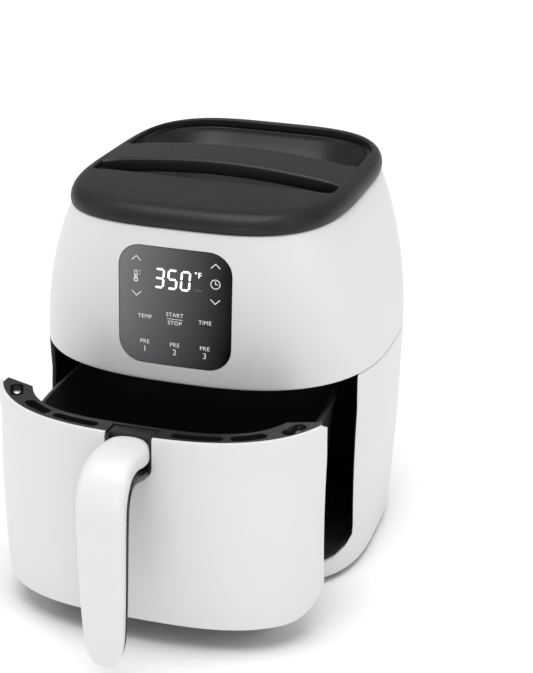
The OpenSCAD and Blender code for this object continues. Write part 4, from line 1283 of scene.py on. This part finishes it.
# ------------------------------------------------------------------- drawer
@dataclass
class Drawer:
    """The drawer: its white face, the crescent trim, the bracket, the carrier and the basket."""

    form: Form
    gap: float = 0.6
    notch_half: float = 14.5
    notch_z: float = 119.0
    trim_low: float = 139.5
    trim_drop: float = 1.4
    trim_end: float = 100.8
    trim_back: float = 58.8
    screw_x: float = 90.0
    screw_y: float = 70.1
    screw_r: float = 1.6
    pocket_depth: float = 4.5
    basket_half: float = 87.0
    basket_square: float = 3.4
    apron_low: float = 114.0
    apron_t: float = 2.2
    end_slant: float = 0.4
    bracket_back: float = -102.4
    basket_front: float = 98.0
    basket_back: float = 80.0
    basket_wall: float = 1.6
    basket_edge: float = 1.2
    basket_floor: float = 21.3
    basket_top: float = 124.0
    draft: float = 6.0
    rim_room: float = 1.35
    trim_cut: Flat = (100.0, 200.0)
    block_half: float = 20.0
    block_front: float = -104.5
    block_back: float = -80.0
    block_low: float = 40.0
    block_high: float = 110.0
    hole_r: float = 3.0
    hole_pitch: float = 15.0
    tray_lift: float = 12.0
    tray_gap: float = 2.2

    def notch(self, grow: float, low: float, high: float) -> bpy.types.Object:
        """The slot in the drawer's top that takes the grip's bracket.

        Args:
            grow: how much larger it is made.
            low: depth of its front end.
            high: depth of its back end.

        Returns:
            The cutter.
        """
        half = self.notch_half + grow
        shape = even(round_box(-half, self.notch_z - grow, half, self.form.seam_z + 20, 8 + grow, 1, 10), 64)
        return prism("notch", shape, low, high, upright)

    def face(self) -> None:
        """The white curved face."""
        form = self.form
        outer = [form.ring(z) for z in steps(form.sill_z - 3, form.seam_z + 4, 34)]
        inner = [form.ring(z, form.wall) for z in steps(form.seam_z + 4, form.sill_z - 3, 16)]
        piece = skin("drawer_face", [*outer, *inner], Ends.LOOPED)
        half = form.opening_half - self.gap
        shape = even(round_box(-half, form.sill_z + self.gap, half, form.seam_z - self.gap,
                               form.opening_r - self.gap, 2.0, 10), 128)
        work(piece, prism("front", shape, AHEAD, -20, upright), Solid.KEEP)
        work(piece, self.notch(0, AHEAD, -80), Solid.CUT)
        soften(piece, 0.8, 42, 3, 0.05)
        dress(piece, form, "drawer", WHITE_ABS, "white_shell", "drawer_front")

    def basket_outline(self, z: float, grow: float, count: int = RING) -> list[Flat]:
        """The basket's outline at a level, on its draft.

        Args:
            z: level.
            grow: how much larger it is made.
            count: number of points.

        Returns:
            The outline.
        """
        tuck = self.draft * (self.basket_top - z) / (self.basket_top - self.basket_floor)
        return even(squircle(self.basket_half - tuck + grow, self.basket_front - tuck + grow,
                             self.basket_back - tuck + grow, self.basket_square), count)

    def basket_room(self) -> bpy.types.Object:
        """A cutter for the room of the basket's rim, through everything at its level."""
        return prism("basket_room", self.basket_outline(self.basket_top, self.rim_room), *self.trim_cut)

    def middle(self, x: float) -> tuple[float, float]:
        """The crescent's middle line.

        Args:
            x: place across the drawer.

        Returns:
            Its depth at x, and the crescent's width there.
        """
        outer = -self.form.face(x, self.form.seam_z, self.form.wall + 0.4)
        share = min(1.0, abs(x) / (self.basket_half + self.basket_edge))
        square = self.basket_square
        inner = (self.basket_front + self.basket_edge) * (1 - share ** square) ** (1 / square)
        return -(outer + inner) / 2, outer - inner

    def pocket(self, x0: float, x1: float, share: float) -> bpy.types.Object:
        """A cutter for one rounded pocket that follows the crescent.

        Args:
            x0: one end.
            x1: the other end.
            share: its width as a share of the crescent's.

        Returns:
            The cutter.
        """
        line = [(x, *self.middle(x)) for x in steps(x0, x1, 18)]
        far, near = [], []
        for k, (x, y, wide) in enumerate(line):
            a, b = line[max(k - 1, 0)], line[min(k + 1, 18)]
            run = math.hypot(b[0] - a[0], b[1] - a[1])
            nx, ny = -(b[1] - a[1]) / run, (b[0] - a[0]) / run
            end = min(k, 18 - k) / 2.2
            half = min(wide, 15.0) * share / 2 * (math.sqrt(max(0.0, 1 - (1 - end) ** 2)) if end < 1 else 1)
            half = max(half, 0.25)
            far.append((x + nx * half, y + ny * half))
            near.append((x - nx * half, y - ny * half))
        shape = even([*near, *reversed(far)], 64)
        top = self.form.seam_z - self.trim_drop
        return prism("pocket", shape, top - self.pocket_depth, top + 8)

    def front_span(self, side: float) -> list[Flat]:
        """Plan of the space in front of the crescent's two slanted ends.

        Args:
            side: half of the crescent's width.

        Returns:
            The outline.
        """
        back = -self.trim_back
        return even([(-side, -130.0), (side, -130.0), (side, back), (0.0, back - self.end_slant * side),
                     (-side, back)], 300)

    def screw_well(self, side: int) -> bpy.types.Object:
        """A cutter for the long well round a screw at the crescent's end.

        Args:
            side: -1 for the left end and 1 for the right.

        Returns:
            The cutter.
        """
        top = self.form.seam_z - self.trim_drop
        flat = round_box(-4.0, -14.5, 4.0, 3.8, 3.6, 3.6, 8)
        lean = math.radians(24)
        shape = [(side * (self.screw_x + u * math.cos(lean) + v * math.sin(lean)),
                  -self.screw_y - u * math.sin(lean) + v * math.cos(lean)) for u, v in flat]
        return prism("well", even(shape if side > 0 else shape[::-1], 64), top - self.pocket_depth, top + 8)

    def trim(self) -> None:
        """The black crescent behind the face, with its pockets, screw wells and apron."""
        form, top = self.form, self.form.seam_z - self.trim_drop
        piece = prism("drawer_crescent", form.outline(form.seam_z, form.wall + 0.4), self.trim_low, top)
        side = self.trim_end
        box = self.front_span(side)
        work(piece, prism("front_half", box, *self.trim_cut), Solid.KEEP)
        work(piece, self.basket_room(), Solid.CUT)
        work(piece, self.notch(0.1, AHEAD, self.bracket_back + 0.5), Solid.CUT)
        for x0, x1, share in ((22, 53, 0.44), (56, 75, 0.46)):
            work(piece, self.pocket(x0, x1, share), Solid.CUT)
            work(piece, self.pocket(-x1, -x0, share), Solid.CUT)
        for side in (-1, 1):
            work(piece, self.screw_well(side), Solid.CUT)
            hole = even(circle(side * self.screw_x, -self.screw_y, self.screw_r, 40), 40)
            work(piece, prism("screw_hole", hole, self.trim_low - 1, top + 5), Solid.CUT)
        apron = prism("apron", self.basket_outline(self.basket_top, self.rim_room + self.apron_t),
                      self.apron_low, self.trim_low + 1)
        work(apron, self.basket_room(), Solid.CUT)
        work(apron, prism("front_half", box, *self.trim_cut), Solid.KEEP)
        work(piece, apron, Solid.ADD)
        soften(piece, 0.45, 42, 2, 0.04)
        dress(piece, form, "drawer", TRIM_PBT, "trim_black", "drawer_trim")

    def bracket(self) -> None:
        """The rounded black bracket that fills the notch round the grip's neck."""
        form = self.form
        half, top = self.notch_half - 0.15, form.seam_z - 2.0
        shape = even(round_box(-half, self.notch_z + 0.15, half, top, 7.85, 1.2, 10), 96)
        piece = prism("grip_bracket", shape, -form.front + 0.7, -form.front + 17.4, upright)
        core = skin("core", [form.ring(z, 0.7) for z in steps(110, 150, 4)])
        work(piece, core, Solid.KEEP)
        work(piece, self.basket_room(), Solid.CUT)
        neck = even(round_box(-12.6, 121.5, 12.6, top + 12, 9.5, 2, 10), 64)
        work(piece, prism("neck_room", neck, AHEAD, -form.front + 5.5, upright), Solid.CUT)
        soften(piece, 0.5, 42, 2, 0.04)
        dress(piece, form, "drawer", TRIM_PBT, "black_plastic", "handle_bracket")

    def carrier(self) -> None:
        """The black frame behind the face that holds the basket."""
        form, low = self.form, self.form.sill_z + 2
        inset, thick = form.wall + 0.4, 3.0
        outer = [form.ring(z, inset) for z in steps(low, self.trim_low, 16)]
        inner = [form.ring(z, inset + thick) for z in steps(self.trim_low, low, 10)]
        piece = skin("drawer_frame", [*outer, *inner], Ends.LOOPED)
        half = form.opening_half - 5
        shape = even(round_box(-half, form.sill_z + 5, half, self.trim_low - 0.2, form.opening_r - 5, 1, 8),
                     96)
        work(piece, prism("front", shape, AHEAD, -52, upright), Solid.KEEP)
        work(piece, self.notch(0.1, AHEAD, -80), Solid.CUT)
        block = even(round_box(-self.block_half, self.block_front, self.block_half, self.block_back,
                               2, 2, 4), 32)
        work(piece, prism("block", block, self.block_low, self.block_high), Solid.ADD)
        top = self.basket_top
        rings = [level(self.basket_outline(z, 0.15), z) for z in (20.5, 60, 100, top)] + [
            level(self.basket_outline(top, self.rim_room), z) for z in (top + 1, top + 21)]
        work(piece, skin("basket_room", rings), Solid.CUT)
        soften(piece, 0.4, 42, 2, 0.04)
        dress(piece, form, "drawer", BLACK_PBT, "black_plastic", "drawer_carrier")

    def basket(self) -> None:
        """The pressed steel basket with its rolled rim."""
        floor, top, t, edge = self.basket_floor, self.basket_top, self.basket_wall, self.basket_edge
        rim = [(edge - 0.5, top - 5.0), (edge, top - 4.4), (edge, top - 0.9), (edge - 0.25, top - 0.3),
               (edge - 0.8, top), (-t + 0.5, top), (-t + 0.1, top - 0.3), (-t, top - 0.9)]
        outer = [(-11.0, floor), (-7.4, floor + 0.3), (-4.2, floor + 1.5), (-1.9, floor + 3.6),
                 (-0.6, floor + 6.4), (-0.05, floor + 9.8),
                 *((0.0, z) for z in steps(floor + 14, top - 6, 14))]
        inner = [*((-t, z) for z in steps(top - 5, floor + 14, 14)), (-t - 0.1, floor + 10),
                 (-t - 0.8, floor + 7.2), (-t - 2.2, floor + 4.7), (-t - 4.4, floor + 2.9),
                 (-t - 7.4, floor + 1.9), (-t - 11, floor + t)]
        rings = [level(self.basket_outline(z, grow), z) for grow, z in [*outer, *rim, *inner]]
        piece = skin("basket_pan", rings)
        dress(piece, self.form, "drawer", NON_STICK, "nonstick_steel", "basket")

    def tray(self) -> None:
        """The crisper tray: a rolled edge, round air holes and four feet."""
        z, t = self.basket_floor + self.basket_wall + self.tray_lift, 1.6
        section = ((-6, 0), (-1.0, 0), (-0.3, 0.3), (0, 0.9), (-0.2, 2.2), (-0.8, 2.7), (-1.5, 2.4),
                   (-2.0, t + 0.2), (-3.2, t), (-7, t))
        fit = -self.basket_wall - self.tray_gap
        piece = skin("crisper_plate", [level(self.basket_outline(z, fit + grow, 128), z + up)
                                       for grow, up in section])
        holes, pitch = [], self.hole_pitch
        for kx in range(-4, 5):
            for ky in range(-5, 5):
                if abs(kx) + abs(ky + 0.5) < 7.6:
                    x, y = pitch * kx, -9 + pitch * (ky + 0.5)
                    holes.append(prism("hole", circle(x, y, self.hole_r, 24), z - 2, z + 4))
        work(piece, together("holes", holes), Solid.CUT)
        profile = ((3.4, 0.0), (4.0, 0.6), (4.0, 9.0), (4.6, 11.4), (6.0, 12.1))
        for x in (-50, 50):
            for y in (-50, 34):
                work(piece, turned("foot", x, y, profile, z - 11.7, 32), Solid.ADD)
        tidy(piece, 1e-3)
        dress(piece, self.form, "tray", NON_STICK, "nonstick_steel", "crisper_tray")

    def screws(self) -> None:
        """Two cross-head screws in the crescent's ends."""
        top = self.form.seam_z - self.trim_drop
        for side, name in ((-1, "trim_screw_left"), (1, "trim_screw_right")):
            x, y = side * self.screw_x, -self.screw_y
            profile = ((1.2, -9.5), (1.5, -9.0), (1.5, -4.5), (3.1, -4.5), (3.1, -3.6), (2.7, -3.1),
                       (1.9, -2.8), (0.8, -2.7))
            piece = turned(name, x, y, profile, top, 40)
            for angle in (25 * side, 90 + 25 * side):
                a = math.radians(angle)
                bar = [(x + u * math.cos(a) - v * math.sin(a), y + u * math.sin(a) + v * math.cos(a))
                       for u, v in ((-1.8, -0.32), (1.8, -0.32), (1.8, 0.32), (-1.8, 0.32))]
                work(piece, prism("cross", bar, top - 3.7, top + 1), Solid.CUT)
            dress(piece, self.form, "drawer", ZINC, "screw_steel", *(["trim_screws"] if side < 0 else []))

    def build(self) -> None:
        """Build the whole drawer but its grip."""
        self.face()
        self.trim()
        self.bracket()
        self.carrier()
        self.basket()
        self.tray()
        self.screws()


# --------------------------------------------------------------------- grip
@dataclass
class Grip:
    """The grip: a white shell over a black liner, swept from the neck over the knee and down."""

    form: Form
    per: int = 7
    gap: float = 0.03
    path: tuple[tuple[float, ...], ...] = (
        # reach from the drawer's face, height, thickness, width, and the liner's start as a share of
        # the thickness
        (-9.0, 136.6, 15.5, 13.0, -0.28), (-7.4, 135.6, 17.6, 19.0, -0.28), (-4.0, 134.2, 20.6, 24.2, -0.28),
        (0.6, 133.3, 22.6, 26.6, -0.26), (6.0, 133.3, 23.2, 27.4, -0.22), (18.0, 135.4, 20.8, 28.0, -0.2),
        (29.0, 135.2, 18.6, 28.6, -0.22), (36.6, 130.0, 17.0, 29.0, -0.26), (41.0, 120.0, 15.6, 29.0, -0.3),
        (41.6, 104.0, 14.0, 28.6, -0.33), (41.0, 80.0, 13.4, 27.6, -0.34), (40.0, 56.0, 12.6, 26.4, -0.34),
        (38.8, 37.0, 11.2, 24.6, -0.33), (38.1, 26.0, 9.6, 22.0, -0.31), (37.7, 20.0, 8.0, 18.4, -0.3),
        (37.5, 16.6, 6.2, 13.4, -0.28), (37.4, 15.2, 4.4, 7.6, -0.26))

    def rings(self, low: float | None, high: float | None, side: float, power: float) -> list[list[Point]]:
        """Rings along the grip between two shares of its thickness.

        Args:
            low: share at the inner face, or None for where the liner starts.
            high: share at the outer face, or None for just under the shell.
            side: how far the sides are drawn in.
            power: roundness of a section; 1 is an ellipse and less is squarer.

        Returns:
            The rings, from the paddle's end to the neck.
        """
        line = flow(self.path, self.per)
        made = []
        for k in range(len(line) - 1, -1, -1):
            reach, z, thick, wide, split = line[k]
            a, b = line[max(k - 1, 0)], line[min(k + 1, len(line) - 1)]
            run = math.hypot(b[0] - a[0], b[1] - a[1])
            along_y, along_z = -(b[0] - a[0]) / run, (b[1] - a[1]) / run
            bottom = split if low is None else low
            top = split - self.gap if high is None else high
            mid, deep = (bottom + top) / 2 * thick, (top - bottom) / 2 * thick
            y0 = -self.form.front + 0.6 - reach
            ring = []
            for turn in steps(0, math.tau, 64)[:-1]:
                u = mid + deep * bend(math.sin(turn), power)
                ring.append(((wide / 2 - side) * bend(math.cos(turn), power), y0 + u * along_z,
                             z - u * along_y))
            made.append(ring)
        return made

    def build(self) -> None:
        """Build the shell and the liner."""
        shell = skin("grip_shell", self.rings(None, 0.5, 0.0, 0.62))
        dress(shell, self.form, "drawer", WHITE_ABS, "white_shell", "handle_shell", smooth=60)
        liner = skin("grip_liner", self.rings(-0.5, None, 0.6, 0.5))
        dress(liner, self.form, "drawer", BLACK_PBT, "black_plastic", "handle_liner", smooth=60)


# ---------------------------------------------------------- back and underside
@dataclass
class BackFittings:
    """The exhaust grille and the cord gland at the back."""

    form: Form
    shells: HousingShells
    louvres: int = 7

    def grille(self) -> None:
        """The exhaust grille: a rounded frame with sloping louvres."""
        half, low, high = self.shells.grille_half, self.shells.grille_low, self.shells.grille_high
        back = self.form.back
        outer = even(round_box(-half - 3, low - 3, half + 3, high + 3, 4, 4), 96)
        rings = [upright(grown(outer, -0.2), back + 0.3), upright(outer, back + 0.8),
                 upright(outer, back + 1.4), upright(grown(outer, -0.5), back + 2.0),
                 upright(grown(outer, -3.0), back + 2.0)]
        piece = skin("exhaust_louvres", rings)
        plug = even(round_box(-half + 0.3, low + 0.3, half - 0.3, high - 0.3, 1.8, 1.8), 96)
        work(piece, prism("plug", plug, back - 11, back + 0.6, upright), Solid.ADD)
        pitch = (high - low - 4) / self.louvres
        for k in range(self.louvres):
            z = low + 2 + pitch * (k + 0.5)
            slot = even(round_box(-half + 5, z - 0.95, half - 5, z + 0.95, 0.9, 0.9, 4), 64)
            cutter = skin("slot", [[(x, y, h + (y - back) * 0.25) for x, y, h in upright(slot, y0)]
                                   for y0 in (back - 14, back + 5)])
            work(piece, cutter, Solid.CUT)
        soften(piece, 0.3, 50, 2, 0.02)
        dress(piece, self.form, "housing", BLACK_PBT, "black_plastic", "exhaust_grille")

    def gland(self) -> None:
        """The cord gland: a flange, a stepped collar and an open bore."""
        z, face = self.shells.gland_z, self.form.sizes(30.0)[2] - 1
        profile = ((3.6, -9.0), (6.6, -9.0), (8.0, -8.4), (8.0, 0.0), (10.4, 0.0), (11.0, 0.5), (11.0, 1.6),
                   (10.4, 2.3), (6.4, 3.0), (5.2, 2.9), (4.2, 2.6), (3.6, 2.0))
        piece = skin("cord_gland", [upright(circle(0, z, r, 64), face + y) for r, y in profile], Ends.LOOPED)
        dress(piece, self.form, "housing", BLACK_PBT, "black_plastic", "cord_bushing")

    def build(self) -> None:
        """Build both fittings."""
        self.grille()
        self.gland()


@dataclass
class Underside:
    """The vented base plate and the four feet."""

    form: Form
    plate_t: float = 2.4
    foot_x: float = 72.0
    foot_y: float = 66.0
    foot_r: float = 9.0
    screw_x: float = 86.0

    def plate(self) -> None:
        """The base plate, with two rows of vents and a stiffening step."""
        form, low = self.form, self.form.foot_z
        edge = form.outline(low, form.wall + 0.3)
        section = ((-6, 0.9), (-5, 0), (-0.5, 0), (0, 0.5), (0, self.plate_t), (-8, self.plate_t))
        piece = skin("base_cover", [level(grown(edge, by), low + up) for by, up in section])
        slots = [prism("slot", even(round_box(x - 1.5, y - 15, x + 1.5, y + 15, 1.4, 1.4, 4), 32),
                       low - 2, low + 6) for x in steps(-44, 44, 11) for y in (-19, 19)]
        work(piece, together("slots", slots), Solid.CUT)
        dress(piece, form, "housing", BLACK_PBT, "black_plastic", "base_plate")

    def feet(self) -> None:
        """Four rubber feet, each with a rounded heel and a shallow ring."""
        r, top = self.foot_r, self.form.foot_z
        profile = ((2.0, 0.5), (4.4, 0.4), (5.0, 0.0), (r - 1.0, 0.0), (r - 0.3, 0.3), (r, 1.0),
                   (r - 0.2, top - 0.4), (r - 0.5, top), (3.0, top + 0.6))
        feet = [turned("foot", x, y, profile) for x in (-self.foot_x, self.foot_x)
                for y in (-self.foot_y, self.foot_y)]
        piece = together("feet", feet)
        dress(piece, self.form, "housing", RUBBER, "foot_rubber", "rubber_feet")

    def build(self) -> None:
        """Build the plate and the feet."""
        self.plate()
        self.feet()


# ------------------------------------------------------------------- studio
@dataclass
class Studio:
    """The white table, the soft lights and the camera."""

    form: Form
    azimuth: float = 15.69
    height: float = 21.43
    away: float = 1.2394
    target: Point = (0.0, 92.0, 100.4)
    lens: float = 89.77
    roll: float = 1.6
    room_light: float = 0.38
    scrim_power: float = 2.5
    scrim_tilt: float = 8.0
    scrim_spread: float = 50.0
    heart: Point = (0.0, 0.03, 0.13)
    softboxes: tuple[tuple[str, Point, Flat, float], ...] = (
        # name, place and size in metres, power in watts
        ("left_softbox", (-1.3, -0.7, 0.75), (0.9, 1.3), 3.2),
        ("right_softbox", (1.25, -0.35, 0.85), (0.7, 1.1), 3.4),
        ("low_front_fill", (0.35, -1.6, 0.42), (0.9, 0.5), 3.2))

    def table(self) -> None:
        """A wide pale floor."""
        clear()
        bpy.ops.mesh.primitive_plane_add(size=60)
        floor = bpy.context.object
        floor.name = "table"
        floor.data.materials.append(TABLE.material())

    def softbox(self, name: str, place: Point, size: Flat, watts: float) -> None:
        """A rectangular light that faces the object.

        Args:
            name: name of the light.
            place: where it stands, in metres.
            size: its width and height, in metres.
            watts: its power.
        """
        clear()
        aim = (Vector(self.heart) - Vector(place)).to_track_quat("-Z", "Y")
        bpy.ops.object.light_add(type="AREA", location=place, rotation=aim.to_euler())
        light = bpy.context.object
        light.name = name
        light.data.shape = "RECTANGLE"
        light.data.size, light.data.size_y = size
        light.data.energy = watts

    def lights(self) -> None:
        """A white room, a broad light through an overhead scrim, two softboxes and a low fill."""
        world = bpy.data.worlds.new("white_room")
        world.use_nodes = True
        backdrop = world.node_tree.nodes["Background"].inputs
        backdrop["Color"].default_value = linear("#FFFFFF")
        backdrop["Strength"].default_value = self.room_light
        bpy.context.scene.world = world
        clear()
        bpy.ops.object.light_add(type="SUN", rotation=(math.radians(self.scrim_tilt), 0, 0))
        sun = bpy.context.object
        sun.name = "overhead_scrim"
        sun.data.energy = self.scrim_power
        sun.data.angle = math.radians(self.scrim_spread)
        for name, place, size, watts in self.softboxes:
            self.softbox(name, place, size, watts)

    def camera(self) -> None:
        """The camera, turned to the object's three-quarter view."""
        a, h = math.radians(self.azimuth), math.radians(self.height)
        target = Vector((self.target[0], self.target[1] + self.form.seat_y, self.target[2])) * MM
        place = target + self.away * Vector((math.sin(a) * math.cos(h), -math.cos(a) * math.cos(h),
                                             math.sin(h)))
        aim = (target - place).to_track_quat("-Z", "Y").to_matrix()
        turn = aim @ Matrix.Rotation(math.radians(self.roll), 3, "Z")
        clear()
        bpy.ops.object.camera_add(location=place, rotation=turn.to_euler())
        eye = bpy.context.object
        eye.name = "studio_camera"
        eye.data.lens = self.lens
        eye.data.sensor_width = 36
        eye.data.clip_end = 100
        bpy.context.scene.camera = eye
        bpy.context.scene.view_settings.view_transform = "Standard"

    def build(self) -> None:
        """Set up the table, the lights and the camera."""
        self.table()
        self.lights()
        self.camera()


def main() -> None:
    """Build every sub-assembly in order."""
    logging.basicConfig(level=logging.INFO, format="%(message)s")
    form = Form.measured()
    log.info("seat %.2f mm, drawer out %.2f mm", form.seat_y, form.pull)
    shells = HousingShells(form)
    for part in (Studio(form), shells, Lid(form), TouchPanel(form, shells), Bay(form), Drawer(form),
                 Grip(form), BackFittings(form, shells), Underside(form)):
        part.build()
    dress_inner_works()
    clear()


if __name__ == "__main__":
    main()
